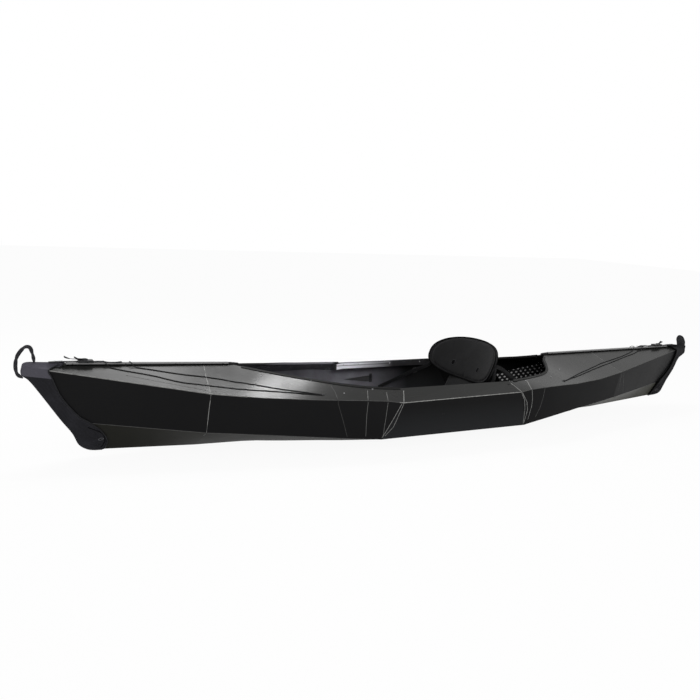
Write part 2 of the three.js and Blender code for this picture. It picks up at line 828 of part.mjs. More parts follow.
const handleInPlane = 5.5;
const handleAcross = 8;
const handleSteps = 26;
const bowHandleShares = [
  [-0.9999, 0.8405],
  [-1.0105, 0.885],
  [-1.0135, 0.965],
  [-1.0095, 1.06],
  [-0.996, 1.14],
  [-0.985, 1.14],
  [-0.98, 1.08],
  [-0.978, 1.0118],
];
const sternHandleShares = [
  [0.9615, 0.8958],
  [0.953, 0.95],
  [0.956, 1.01],
  [0.982, 0.995],
  [1.0025, 0.93],
  [1.0049, 0.8663],
];

function handleMesh(name, shares, top) {
  const path = shares.map(([along, up]) => new THREE.Vector3(along * halfLength, 0, up * top));
  const rings = rodRings(path, handleSteps, handleInPlane, handleAcross);
  const outline = [];
  for (let k = 0; k < handleSides; k += 1) {
    const angle = (k / handleSides) * 2 * Math.PI;
    outline.push(new THREE.Vector2(Math.cos(angle) * handleInPlane, Math.sin(angle) * handleAcross));
  }
  return meshNamed(name, ringsGeometry(rings, outline), looks.webbing);
}

// Strap sets that draw each cap towards the cockpit. They lie on the seam channels.

const strapWidth = 20;
const strapThick = 2;
const strapRise = channelTop + gap;
const buckleWidth = 31;
const buckleHeight = 10;
const buckleWall = 2.4;
const tongueReach = 27;
const tongueBar = 13;
// Where the strap starts, and where the buckle, the tongue's bar and the tail start and end.
const strapPlaceShares = {
  bow: [-0.915, -0.888, -0.864, -0.788],
  stern: [0.918, 0.888, 0.864, 0.788],
};

// A solid along the ridge between two places, from an outline across the boat above the ridge.
function ridgeBar(outlinePairs, fromX, toX) {
  const outline = outlinePairs.map(([y, z]) => new THREE.Vector2(y, z));
  const rings = [fromX, toX].map((x) => outline.map((p) => new THREE.Vector3(x, p.x, ridgeHeightAt(x) + p.y)));
  return ringsGeometry(rings, outline);
}

function rectangle(width, height, rise) {
  const half = width / 2;
  return [
    [-half, rise],
    [half, rise],
    [half, rise + height],
    [-half, rise + height],
  ];
}

function strapSet(end) {
  const [start, buckleStart, buckleEnd, tailEnd] = strapPlaceShares[end].map((share) => share * halfLength);
  const inward = -Math.sign(start);
  const flat = rectangle(strapWidth, strapThick, strapRise);
  part.add(meshNamed(end + "_strap", ridgeBar(flat, start, buckleStart - inward * gap), looks.webbing));
  const body = toManifold(ridgeBar(rectangle(buckleWidth, buckleHeight, strapRise), buckleStart, buckleEnd));
  const roomWidth = buckleWidth - 2 * buckleWall;
  const roomHeight = buckleHeight - 2 * buckleWall;
  const roomRise = strapRise + buckleWall;
  const roomStart = buckleEnd - inward * (tongueReach + gap);
  const room = ridgeBar(rectangle(roomWidth, roomHeight, roomRise), roomStart, buckleEnd + inward * gap);
  part.add(meshNamed(end + "_buckle", toGeometry(body.subtract(toManifold(room))), looks.buckle));
  const plug = rectangle(roomWidth - 2 * gap, roomHeight - 2 * gap, roomRise + gap);
  const barStart = buckleEnd + inward * gap;
  const barEnd = barStart + inward * tongueBar;
  const bar = toManifold(ridgeBar(rectangle(buckleWidth, buckleHeight, strapRise), barStart, barEnd));
  const tongue = bar.add(toManifold(ridgeBar(plug, buckleEnd - inward * tongueReach, barEnd - inward * gap)));
  part.add(meshNamed(end + "_buckle_tongue", toGeometry(tongue), looks.buckle));
  part.add(meshNamed(end + "_strap_tail", ridgeBar(flat, barEnd + inward * gap, tailEnd), looks.webbing));
}

// Elastic cords across the decks, each one closed loop.

const cordRadius = 2.2;
const cordSides = 8;
const cordSteps = 76;
const cordFineSteps = 600;
const crossingWeightShare = 9;
const cordLift = cordRadius + 4 * gap;

// The height of a triangle over a place, or minus infinity where the place lies beside it.
function heightOn(corners, x, y) {
  const flat = corners.map((p) => new THREE.Vector3(p.x, p.y, 0));
  const parts = THREE.Triangle.getBarycoord(new THREE.Vector3(x, y, 0), ...flat, new THREE.Vector3());
  if (!parts || Math.min(parts.x, parts.y, parts.z) < -samePoint) return -Infinity;
  return parts.x * corners[0].z + parts.y * corners[1].z + parts.z * corners[2].z;
}

// The height of the deck at a place, for either way of creasing each twisted panel.
function deckHeightAt(x, y) {
  let height = -Infinity;
  for (let row = 0; row < stationShares.length - 1; row += 1) {
    const [a, b] = [lines.gunwale[row], lines.gunwale[row + 1]];
    const [c, d] = [lines.shoulder[row + 1], lines.shoulder[row]];
    const creased = [
      [a, b, c],
      [a, c, d],
      [a, b, d],
      [b, c, d],
    ];
    for (const corners of creased) height = Math.max(height, heightOn(corners, x, y));
  }
  return height;
}

const cordRouteShares = {
  front: [
    [-0.3765, 0.768],
    [-0.468, 0.622],
    [-0.541, 0.518],
    [-0.6116, 0.413],
    [-0.6818, 0.326],
    [-0.7319, 0.2157],
    [-0.7824, 0.1224],
    [-0.837, 0],
    [-0.7824, -0.1224],
    [-0.7319, -0.2157],
    [-0.6818, -0.326],
    [-0.6116, -0.413],
    [-0.541, -0.518],
    [-0.468, -0.622],
    [-0.3765, -0.768],
    [-0.4643, -0.577],
    [-0.5332, -0.4076],
    [-0.6024, -0.2686],
    [-0.6742, -0.187],
    [-0.7271, -0.1165],
    [-0.77, 0],
    [-0.7271, 0.1165],
    [-0.6742, 0.187],
    [-0.6024, 0.2686],
    [-0.5332, 0.4076],
    [-0.4643, 0.577],
  ],
  rear: [
    [0.3585, 0.77],
    [0.48, 0.525],
    [0.5946, 0.3905],
    [0.7337, 0.1603],
    [0.815, 0],
    [0.7337, -0.1603],
    [0.5946, -0.3905],
    [0.48, -0.525],
    [0.3585, -0.77],
    [0.4813, -0.49],
    [0.5954, -0.317],
    [0.737, -0.1],
    [0.772, 0],
    [0.737, 0.1],
    [0.5954, 0.317],
    [0.4813, 0.49],
  ],
};
const crossingFlat = 14;
const crossingReach = 26;
const tailTravel = 34;

// Places along a closed route, closer together where it crosses the ridge.
function cordPlaces(route) {
  const fine = [];
  for (let k = 0; k < cordFineSteps; k += 1) fine.push(route.getPointAt(k / cordFineSteps));
  const weights = fine.map((p) => 1 + crossingWeightShare * Math.exp(-((p.y / channelHalf / 2) ** 2)));
  const total = weights.reduce((sum, w) => sum + w, 0);
  const places = [];
  let reached = 0;
  fine.forEach((p, k) => {
    if (reached >= (places.length / cordSteps) * total) places.push(p.clone());
    reached += weights[k];
  });
  return places;
}

function cordMesh(name, routeShares, tailEndX) {
  const flat = routeShares.map(([along, across]) => new THREE.Vector3(along * halfLength, across * halfBeam, 0));
  const route = new THREE.CatmullRomCurve3(flat, true, "catmullrom", 0.35);
  const centres = cordPlaces(route).map((p) => {
    const away = Math.abs(p.y);
    const overTail = Math.abs(p.x) > Math.abs(tailEndX) - tailTravel;
    const top = ridgeHeightAt(p.x) + channelTop + gap + cordLift + (overTail ? strapThick + gap : 0);
    const deck = deckHeightAt(p.x, Math.max(away, ridgeHalf)) + cordLift + gap;
    const drop = Math.max(away - crossingFlat, 0) / crossingReach;
    p.z = drop < 1 ? Math.max(THREE.MathUtils.lerp(top, deck, drop), deck) : deck;
    return p;
  });
  const rings = centres.map((centre, k) => {
    const before = centres[(k + centres.length - 1) % centres.length];
    const after = centres[(k + 1) % centres.length];
    const tangent = after.clone().sub(before).normalize();
    const sideways = new THREE.Vector3(-tangent.y, tangent.x, 0).normalize();
    const up = new THREE.Vector3().crossVectors(tangent, sideways);
    const ring = [];
    for (let j = 0; j < cordSides; j += 1) {
      const angle = (j / cordSides) * 2 * Math.PI;
      const point = centre.clone().addScaledVector(sideways, Math.cos(angle) * cordRadius);
      ring.push(point.addScaledVector(up, Math.sin(angle) * cordRadius));
    }
    return ring;
  });
  const outline = rings[0].map((_, j) => new THREE.Vector2(j, 0));
  return meshNamed(name, ringsGeometry(rings, outline, true), looks.cord);
}

// Cushions: a front and a back that swell from a thin edge.

const cushionSides = 44;
const cushionRings = 7;

// place(u, v, depth) puts a point of the cushion, with u and v its shares across and up, in the boat.
function cushionGeometry(halfWidth, halfHeight, squareness, edge, crown, back, place) {
  const points = [];
  const ringPoint = (k, share) => {
    const angle = (k / cushionSides) * 2 * Math.PI;
    const c = Math.cos(angle);
    const s = Math.sin(angle);
    const power = 2 / squareness;
    const u = Math.sign(c) * Math.abs(c) ** power * halfWidth * share;
    const v = Math.sign(s) * Math.abs(s) ** power * halfHeight * share;
    return [u, v];
  };
  const swell = (share, rise) => edge / 2 + rise * (1 - share * share) ** 0.6;
  const layers = [];
  for (const [sign, rise] of [
    [1, crown],
    [-1, back],
  ]) {
    const rings = [];
    for (let i = 1; i <= cushionRings; i += 1) {
      const share = 1 - (1 - i / cushionRings) ** 1.6;
      const ring = [];
      for (let k = 0; k < cushionSides; k += 1) {
        const [u, v] = ringPoint(k, share);
        ring.push(place(u, v, sign * swell(share, rise)));
      }
      rings.push(ring);
    }
    layers.push({ centre: place(0, 0, sign * swell(0, rise)), rings });
  }
  const triangles = [];
  layers.forEach((layer, side) => {
    const base = points.length;
    points.push(layer.centre, ...layer.rings.flat());
    const at = (i, k) => base + 1 + i * cushionSides + (k % cushionSides);
    for (let k = 0; k < cushionSides; k += 1) {
      const fan = [base, at(0, k), at(0, k + 1)];
      triangles.push(side === 0 ? fan : fan.reverse());
      for (let i = 0; i < cushionRings - 1; i += 1) {
        const first = [at(i, k), at(i + 1, k), at(i + 1, k + 1)];
        const second = [at(i, k), at(i + 1, k + 1), at(i, k + 1)];
        triangles.push(side === 0 ? first : first.reverse(), side === 0 ? second : second.reverse());
      }
    }
    layer.edgeStart = at(cushionRings - 1, 0);
  });
  for (let k = 0; k < cushionSides; k += 1) {
    const next = (k + 1) % cushionSides;
    const [a, b] = [layers[0].edgeStart + k, layers[0].edgeStart + next];
    const [c, d] = [layers[1].edgeStart + k, layers[1].edgeStart + next];
    triangles.push([b, a, c], [b, c, d]);
  }
  return closedGeometry(points, triangles);
}

const padHalfLength = 165;
const padHalfWidth = 180;
const padEdge = 16;
const padCrown = 12;
const padSag = 4;
const padCentreX = 0;
const padSquareness = 5;
const padMiddle = floorTop + 2 * gap + padEdge / 2 + padSag;

// How wide the flat of the floor is amidships, and how steeply it rises beyond.
function floorSide() {
  const inner = bottomAt(frontFoldShare, innerBilgeShare);
  const outer = bottomAt(frontFoldShare, outerBilgeShare);
  const slope = (outer.z - inner.z) / (outer.y - inner.y);
  return [inner.y - floorTop * slope, slope];
}

function seatPadMesh() {
  const [flat, slope] = floorSide();
  const place = (u, v, depth) => {
    const rise = Math.max(Math.abs(u) - flat, 0) * slope;
    return new THREE.Vector3(padCentreX + v, u, padMiddle + depth + rise);
  };
  const geometry = cushionGeometry(padHalfWidth, padHalfLength, padSquareness, padEdge, padCrown, padSag, place);
  return meshNamed("seat_pad", geometry, looks.pad);
}

const backRoom = 35;
const backHalfWidth = rimHalfWidth - backRoom;
const backHalfHeight = 108;
const backCentreX = 291;
const backCentreShare = 1.17091;
const backCentreZ = backCentreShare * rimHeight;
const backWrap = 76;
const backLean = 23.5;
const backEdge = 9;
const backCrown = 9;
const backHollow = 3;
const backSquareness = 2.5;
const flapWidth = 240;
const flapThick = 7;
const flapTuck = 30;
const hingeInset = 15;
const hingeRise = 20.5;
const hingeX = padCentreX + padHalfLength - hingeInset;
const hingeZ = padMiddle + hingeRise;
const hingeRadius = 5;
const hingeSides = 12;

const leanAngle = THREE.MathUtils.degToRad(backLean);

function backPlace(u, v, depth) {
  const curl = backWrap * (u / backHalfWidth) ** 2;
  const x = backCentreX + v * Math.sin(leanAngle) - curl - depth * Math.cos(leanAngle);
  const z = backCentreZ + v * Math.cos(leanAngle) + depth * Math.sin(leanAngle);
  return new THREE.Vector3(x, u, z);
}

function seatBackMesh() {
  const shape = [backHalfWidth, backHalfHeight, backSquareness, backEdge, backCrown, backHollow];
  const cushion = toManifold(cushionGeometry(...shape, backPlace));
  const top = backPlace(0, -backHalfHeight + flapTuck, 0);
  const foot = new THREE.Vector3(hingeX, 0, hingeZ);
  const along = top.clone().sub(foot).normalize();
  const thick = new THREE.Vector3(-along.z, 0, along.x).multiplyScalar(flapThick / 2);
  const outline = [
    [-1, -1],
    [1, -1],
    [1, 1],
    [-1, 1],
  ].map(([a, b]) => new THREE.Vector2(a, b));
  const rings = [foot, top].map((centre) =>
    outline.map((p) => {
      const point = centre.clone().addScaledVector(thick, p.x);
      point.y = (p.y * flapWidth) / 2;
      return point;
    }),
  );
  const flap = toManifold(ringsGeometry(rings, outline));
  const barrel = new THREE.CylinderGeometry(hingeRadius, hingeRadius, flapWidth, hingeSides);
  barrel.translate(hingeX, 0, hingeZ);
  return meshNamed("seat_back", toGeometry(cushion.add(flap).add(toManifold(barrel))), looks.pad);
}

// Straps from the sides of the hull to each side of the seat back.

const holdWidth = 18;
const holdThick = 2;
const holdSeat = 3.9;
const holdSteps = 22;
// Points along the strap, as shares of the back's place along the boat, its half width and the rim's height.
const holdPathShares = [
  [-0.20619, 1.21771, 0.46545],
  [0.30928, 1.05904, 0.74182],
  [0.76289, 0.97417, 0.95273],
  [0.811, 1.00812, 1.22909],
  [1.27835, 0.96679, 0.93818],
];

// How far the inside of a side is from the boat's middle, at a place along and up between the middle folds.
function insideWidthAt(x, z) {
  const [low, high] = ["chine", "gunwale"].map((line) => {
    const [a, b] = [frontFoldShare, rearFoldShare].map((station) => lineBetween(line, station));
    return a.lerp(b, (x - a.x) / (b.x - a.x));
  });
  const lean = (high.y - low.y) / (high.z - low.z);
  return low.y + lean * (z - low.z) - sheet * Math.hypot(1, lean);
}

function holdPath() {
  const points = holdPathShares.map(
    ([along, across, up]) => new THREE.Vector3(along * backCentreX, across * backHalfWidth, up * rimHeight),
  );
  points[0].y = insideWidthAt(points[0].x, points[0].z) - holdSeat;
  return points;
}

function seatStrapMesh(name, side) {
  const curve = new THREE.CatmullRomCurve3(holdPath(), false, "catmullrom", 0.12);
  const centres = curve.getSpacedPoints(holdSteps);
  const outline = [
    [-1, -1],
    [1, -1],
    [1, 1],
    [-1, 1],
  ].map(([a, b]) => new THREE.Vector2(a, b));
  const rings = centres.map((centre, k) => {
    const before = centres[Math.max(k - 1, 0)];
    const after = centres[Math.min(k + 1, centres.length - 1)];
    const along = after.clone().sub(before).normalize();
    const thick = new THREE.Vector3(0, 1, 0);
    const wide = new THREE.Vector3().crossVectors(along, thick).normalize();
    return outline.map((p) => {
      const point = centre.clone().addScaledVector(wide, (p.x * holdWidth) / 2);
      point.addScaledVector(thick, (p.y * holdThick) / 2);
      point.y *= side;
      return point;
    });
  });
  return meshNamed(name, ringsGeometry(rings, outline), looks.webbing);
}

// The foot brace: a board across the feet on a runner along the keel.

const braceXShare = -0.413043;
const braceX = braceXShare * halfLength;
const braceHalfWidth = 120;
const braceHeight = 105;
const braceThick = 8;
const braceRise = 16;
const braceVee = 26;
const runnerLength = 130;
const runnerWidth = 36;
const runnerThick = 6;
const braceStand = 5.1;

function footBraceMesh() {
  const foot = floorTop + braceStand;
  const outline = [
    [0, foot],
    [braceHalfWidth, foot + braceVee],
    [braceHalfWidth, foot + braceHeight],
    [-braceHalfWidth, foot + braceHeight],
    [-braceHalfWidth, foot + braceVee],
  ].map(([y, z]) => new THREE.Vector2(y, z));
  const rings = [braceX, braceX + braceThick].map((x) => outline.map((p) => new THREE.Vector3(x, p.x, p.y)));
  const board = toManifold(ringsGeometry(rings, outline));
  const runnerMiddle = braceX + braceRise;
  const runner = toManifold(boxAt(runnerLength, runnerWidth, runnerThick, runnerMiddle, 0, foot + runnerThick / 2));
  return meshNamed("foot_brace", toGeometry(board.add(runner)), looks.board);
}

addHull();
part.add(capMesh("bow_cap", bowCap));
part.add(capMesh("stern_cap", sternCap));
part.add(channelMesh("front_channel", channelEndShares.front));
part.add(channelMesh("rear_channel", channelEndShares.rear));
addRimPieces();
addFloor();
part.add(handleMesh("bow_handle", bowHandleShares, bowTop));
part.add(handleMesh("stern_handle", sternHandleShares, sternTop));
strapSet("bow");
strapSet("stern");
part.add(cordMesh("front_bungee", cordRouteShares.front, strapPlaceShares.bow[3] * halfLength));
part.add(cordMesh("rear_bungee", cordRouteShares.rear, strapPlaceShares.stern[3] * halfLength));
part.add(seatPadMesh());
part.add(seatBackMesh());
part.add(seatStrapMesh("seat_strap_port", -1));
part.add(seatStrapMesh("seat_strap_starboard", 1));
part.add(footBraceMesh());

export default part;
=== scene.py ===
"""The looks of a folding kayak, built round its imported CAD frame. Metres, the same frame as the CAD."""

import math

import bmesh
import bpy
import numpy as np
from bpy.props import FloatProperty, FloatVectorProperty, IntProperty, PointerProperty
from mathutils import Matrix, Vector, noise
from mathutils.bvhtree import BVHTree


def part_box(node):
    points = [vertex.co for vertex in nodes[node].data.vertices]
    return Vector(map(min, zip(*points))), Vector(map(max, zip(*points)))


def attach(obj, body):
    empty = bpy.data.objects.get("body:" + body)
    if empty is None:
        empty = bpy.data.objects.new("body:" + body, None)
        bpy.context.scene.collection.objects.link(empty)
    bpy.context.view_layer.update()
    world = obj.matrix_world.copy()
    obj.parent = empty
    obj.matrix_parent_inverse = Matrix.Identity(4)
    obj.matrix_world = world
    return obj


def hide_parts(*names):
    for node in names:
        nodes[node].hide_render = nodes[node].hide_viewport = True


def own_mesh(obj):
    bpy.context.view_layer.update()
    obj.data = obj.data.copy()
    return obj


bl_info = {
    "name": "Folding kayak",
    "version": (1, 0, 0),
    "blender": (4, 5, 0),
    "location": "View3D > Sidebar > Kayak",
    "description": "Dresses the packed frame of a folding kayak",
    "category": "Object",
}

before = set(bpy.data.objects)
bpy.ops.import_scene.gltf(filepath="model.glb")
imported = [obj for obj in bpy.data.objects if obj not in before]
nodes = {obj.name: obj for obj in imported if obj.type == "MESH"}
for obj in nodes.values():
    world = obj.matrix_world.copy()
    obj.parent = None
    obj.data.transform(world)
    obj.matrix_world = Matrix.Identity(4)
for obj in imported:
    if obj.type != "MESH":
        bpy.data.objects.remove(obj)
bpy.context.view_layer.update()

HULL = "hull"
SIDES = {"port": -1, "starboard": 1}
ASTERN = Vector((1, 0, 0))
UP = Vector((0, 0, 1))
# Points of a cut-up surface that lie nearer than this are taken as one.
MERGE = 2e-5


# Settings


def colour(name, text, value):
    return FloatVectorProperty(
        name=name, description=text, subtype="COLOR", size=3, min=0, max=1, default=value
    )


def length(name, text, value):
    return FloatProperty(
        name=name, description=text, subtype="DISTANCE", unit="LENGTH", min=0, default=value
    )


def power(name, text, value):
    return FloatProperty(name=name, description=text, unit="POWER", min=0, default=value)


class KayakSheetSettings(bpy.types.PropertyGroup):
    sheet: colour("Sheet", "Colour of the hull's plastic sheet", (0.0065, 0.0065, 0.0068))
    deck: colour("Deck", "Colour of the deck panels", (0.0145, 0.0147, 0.0140))
    bottom: colour("Bottom", "Colour of the bottom panels", (0.017, 0.017, 0.0142))
    # The inner skin colour is painted light: the walls' inside is the same black plastic, drawn lighter where
    # light falls into the cockpit.
    inner: colour("Inner skin", "Colour of the walls' inner skin", (0.178, 0.175, 0.198))
    score: colour("Crease", "Colour of the stretched plastic in a crease", (0.30, 0.30, 0.29))
    score_width: length("Crease width", "Width of a pale crease line", 0.0030)
    score_rise: length("Crease rise", "How far a crease stands off the sheet", 0.0006)


class KayakCapSettings(bpy.types.PropertyGroup):
    cloth: colour("Cloth", "Colour of the end caps' cloth", (0.0135, 0.0135, 0.0165))
    nose: colour("Worn cloth", "Colour of the cloth where it is rubbed", (0.075, 0.072, 0.088))
    wrinkle: length("Wrinkle", "How far the cloth's wrinkles stand out", 0.0011)
    binding: length("Binding", "Radius of the binding on the caps' rear edge", 0.0026)


class KayakWebbingSettings(bpy.types.PropertyGroup):
    webbing: colour("Webbing", "Colour of the straps and handles", (0.012, 0.012, 0.014))
    thread: colour("Thread", "Colour of the stitching", (0.035, 0.035, 0.038))
    stitch: length("Stitch", "Length of one stitch", 0.0042)
    pitch: length("Stitch pitch", "Distance from one stitch to the next", 0.0065)


class KayakFittingSettings(bpy.types.PropertyGroup):
    moulding: colour("Moulding", "Colour of moulded black plastic", (0.014, 0.014, 0.015))
    # The trim's top is a little lighter than its black sides: a painted highlight.
    trim: colour("Trim", "Colour of the rim trim's top", (0.010, 0.010, 0.010))
    rail: colour("Rail", "Colour of the ridge channels' top", (0.26, 0.26, 0.26))
    # The bar's near-white colour is partly its pale anodising and partly a painted reflection of the bright
    # room, as the bar is drawn without metal shine.
    bar: colour("Bar", "Colour of the anodised rim bars", (0.95, 0.94, 1.0))
    cord: colour("Cord", "Colour of the elastic cords", (0.014, 0.014, 0.015))
    cord_radius: length("Cord radius", "Radius of the elastic cords", 0.0016)


class KayakSeatSettings(bpy.types.PropertyGroup):
    cloth: colour("Seat cloth", "Colour of the seat's cloth", (0.0085, 0.0085, 0.0090))
    piping: colour("Piping", "Colour of the seat's piping", (0.0015, 0.0015, 0.0016))
    board: colour("Board", "Colour of the floorboard", (0.014, 0.014, 0.015))
    dots: colour("Dots", "Colour of the board's printed dots", (0.76, 0.76, 0.76))
    dot_pitch: length("Dot pitch", "Distance between printed dots", 0.031)
    frames: IntProperty(
        name="Cloth frames", description="Steps of the cushions' simulation", default=20, min=2, max=60
    )


class KayakStageSettings(bpy.types.PropertyGroup):
    floor: colour("Floor", "Colour of the floor", (0.84, 0.84, 0.84))
    key: power("Key", "Power of the light above the front deck", 33)
    glint: power("Glint", "Power of the small light on the front deck", 19)
    rim: power("Rim", "Power of the narrow light on the far rim bar", 0.15)
    fill: power("Fill", "Power of the front light", 40)
    world: FloatProperty(name="Ambient", description="Strength of the even light", default=0.7, min=0)


SETTING_GROUPS = {
    "sheet": KayakSheetSettings,
    "caps": KayakCapSettings,
    "webbing": KayakWebbingSettings,
    "fittings": KayakFittingSettings,
    "seat": KayakSeatSettings,
    "stage": KayakStageSettings,
}


class KayakSettings(bpy.types.PropertyGroup):
    sheet: PointerProperty(type=KayakSheetSettings)
    caps: PointerProperty(type=KayakCapSettings)
    webbing: PointerProperty(type=KayakWebbingSettings)
    fittings: PointerProperty(type=KayakFittingSettings)
    seat: PointerProperty(type=KayakSeatSettings)
    stage: PointerProperty(type=KayakStageSettings)


def settings():
    return bpy.context.scene.kayak


# Node helpers


def add_node(tree, kind, inputs=None, **values):
    """A new node with its settings made and its inputs linked or filled in."""
    node = tree.nodes.new(kind)
    for key, value in values.items():
        setattr(node, key, value)
    for key, value in (inputs or {}).items():
        put(tree, node.inputs[key], value)
    return node


def put(tree, socket, value):
    if isinstance(value, bpy.types.NodeSocket):
        tree.links.new(value, socket)
    elif socket.type == "RGBA" and len(value) == 3:
        socket.default_value = (*value, 1)
    else:
        socket.default_value = value


class Nodes:
    """A short way to write the node tree of a material or a world."""

    def __init__(self, name, family="materials"):
        self.owner = getattr(bpy.data, family).new(name)
        self.owner.use_nodes = True
        self.tree = self.owner.node_tree
        self.shader = self.tree.nodes.get("Principled BSDF")

    def add(self, kind, inputs=None, **values):
        return add_node(self.tree, "ShaderNode" + kind, inputs, **values)

    def coords(self, kind="Object", scale=(1, 1, 1), turn=(0, 0, 0)):
        source = self.add("TexCoord").outputs[kind]
        return self.add("Mapping", {"Vector": source, "Scale": scale, "Rotation": turn}).outputs[0]

    def split(self, vector):
        return self.add("SeparateXYZ", {0: vector}).outputs

    def noise(self, vector, scale, detail=3, rough=0.5):
        inputs = {"Vector": vector, "Scale": scale, "Detail": detail, "Roughness": rough}
        return self.add("TexNoise", inputs).outputs[0]

    def waves(self, vector, scale, direction, **inputs):
        """Bands square to one direction."""
        inputs = {key.replace("_", " "): value for key, value in inputs.items()}
        inputs.update({"Vector": vector, "Scale": scale})
        return self.add("TexWave", inputs, bands_direction=direction).outputs[1]

    def maths(self, operation, a, b=0.5):
        return self.add("Math", {0: a, 1: b}, operation=operation).outputs[0]

    def plus(self, a, b):
        return self.maths("ADD", a, b)

    def minus(self, a, b):
        return self.maths("SUBTRACT", a, b)

    def times(self, a, b):
        return self.maths("MULTIPLY", a, b)

    def span(self, value, low, high, to_low=0.0, to_high=1.0):
        inputs = {"Value": value, "From Min": low, "From Max": high, "To Min": to_low, "To Max": to_high}
        return self.add("MapRange", inputs).outputs[0]

    def mix(self, share, first, second):
        return self.add("Mix", {0: share, 6: first, 7: second}, data_type="RGBA").outputs[2]

    def bump(self, height, distance, strength, under=None):
        inputs = {"Height": height, "Distance": distance, "Strength": strength}
        if under is not None:
            inputs["Normal"] = under
        return self.add("Bump", inputs).outputs[0]

    def grain(self, scale, distance, strength):
        return self.bump(self.noise(self.coords(), scale, 2), distance, strength)

    def seen(self):
        """1 for a ray from the camera, from a mirror or through glass."""
        path = self.add("LightPath").outputs
        either = self.maths("MAXIMUM", path["Is Camera Ray"], path["Is Glossy Ray"])
        return self.maths("MAXIMUM", either, path["Is Transmission Ray"])

    def finish(self, tone, roughness, normal=None, level=None, **more):
        inputs = {"Base Color": tone, "Roughness": roughness, "Normal": normal, "Specular IOR Level": level}
        inputs.update({key.replace("_", " "): value for key, value in more.items()})
        for key, value in inputs.items():
            if value is not None:
                put(self.tree, self.shader.inputs[key], value)
        return self.owner


def shade(base, factor):
    return tuple(min(1.0, c * factor) for c in base)


# Materials


def sheet_material(name, base, roughness=0.36, level=0.34, inner=None, foot=None):
    """Satin twin-wall sheet: faint ribs inside it show through, with soft clouding and fine rubs.

    inner is the painted light on the inner faces of the walls in the front of the cockpit, in patches and
    fading to the rear; foot is the colour of the wall's low part, a painted reflection of the pale floor.
    """
    n = Nodes(name)
    flat = n.coords()
    place = n.split(flat)
    cloud = n.noise(flat, 3.5, 4, 0.55)
    rub = n.noise(n.coords(scale=(2.0, 18.0, 40.0), turn=(0.3, 0.1, 0.2)), 6.0, 5, 0.7)
    rubbed = n.span(rub, 0.60, 0.78, 0.0, 0.35)
    body = n.mix(cloud, shade(base, 0.8), shade(base, 1.25))
    # Painted reflection of the pale floor: the wall's low part is lighter.
    if foot is not None:
        body = n.mix(n.span(place[2], 0.20, 0.06), body, foot)
    # Painted light: inner faces at the front of the cockpit get the inner colour in patches, fading towards
    # the rear.
    if inner is not None:
        facing = n.times(n.split(n.add("TexCoord").outputs["Normal"])[1], place[1])
        share = n.times(n.span(facing, -0.02, -0.08), n.span(place[0], -0.20, 0.12, 1.0, 0.0))
        painted_light_patches = n.span(n.noise(flat, 7.0, 3, 0.6), 0.3, 0.7, 0.55, 1.0)
        body = n.mix(n.times(share, painted_light_patches), body, inner)
    tone = n.mix(n.times(rubbed, 0.5), body, shade(base, 3.0))
    rough = n.plus(n.span(cloud, 0.3, 0.7, -0.05, 0.06), roughness)
    rough = n.plus(rough, n.times(rubbed, 0.35))
    normal = n.bump(n.waves(flat, 34.0, "X", Distortion=0.15, Detail=1.0), 0.00003, 0.1)
    normal = n.bump(n.noise(flat, 380.0, 2), 0.00005, 0.5, normal)
    normal = n.bump(n.noise(flat, 7.0, 2), 0.0006, 0.25, normal)
    return n.finish(tone, rough, normal, level)


def crease_material(name, base):
    n = Nodes(name)
    broken = n.span(n.noise(n.coords(), 55.0, 4, 0.7), 0.35, 0.62)
    return n.finish(n.mix(broken, shade(base, 0.5), base), 0.5, n.grain(400.0, 0.0001, 0.6))


def cloth_material(name, base, worn, scale, roughness, worn_share, upper=None):
    """Coated plain-weave cloth, rubbed in patches.

    upper is the colour and the height of a second panel that is sewn on above.
    """
    n = Nodes(name)
    flat = n.coords()
    scale /= 6.28
    loose = {"Distortion": 0.4, "Detail": 1.0, "Detail_Scale": 2.0}
    warp, weft = (n.waves(flat, scale, direction, **loose) for direction in "XZ")
    across = n.waves(flat, scale, "Y")
    weave = n.maths("MAXIMUM", n.times(warp, weft), n.times(across, weft))
    body = n.mix(weave, shade(base, 0.65), shade(base, 1.25))
    tone = n.mix(n.span(n.noise(flat, 14.0, 4, 0.6), 0.45, 0.72, 0.0, worn_share), body, worn)
    if upper is not None:
        place = n.split(flat)
        height = n.plus(n.times(place[0], 0.12), place[2])
        tone = n.mix(n.span(height, upper[1] - 0.001, upper[1] + 0.001), tone, upper[0])
    normal = n.bump(weave, 0.00035, 0.8)
    normal = n.bump(n.noise(flat, 60.0, 4, 0.6), 0.0009, 0.45, normal)
    return n.finish(tone, roughness, normal, 0.15, Sheen_Weight=0.05, Sheen_Roughness=0.4)


def webbing_material(name, base, rib_pitch=0.0021, pick_pitch=0.0026):
    """Woven webbing on its own UV map: U across the strap and V along it, both in metres."""
    n = Nodes(name)
    u, v, _ = n.split(n.coords("UV"))
    rib = n.maths("SINE", n.times(u, 2 * math.pi / rib_pitch))
    step = n.times(n.maths("SIGN", rib), 0.9)
    along = n.maths("SINE", n.plus(n.times(v, 2 * math.pi / pick_pitch), step))
    weave = n.times(n.plus(along, 1.0), n.plus(n.maths("ABSOLUTE", rib), 0.25))
    fuzz = n.noise(n.coords(), 300.0, 3, 0.7)
    tone = n.mix(n.span(weave, 0.0, 2.2), shade(base, 0.5), shade(base, 1.9))
    tone = n.mix(n.span(fuzz, 0.4, 0.8, 0.0, 0.4), tone, shade(base, 3.0))
    return n.finish(tone, 0.78, n.bump(weave, 0.00035, 0.9), 0.15, Sheen_Weight=0.06)


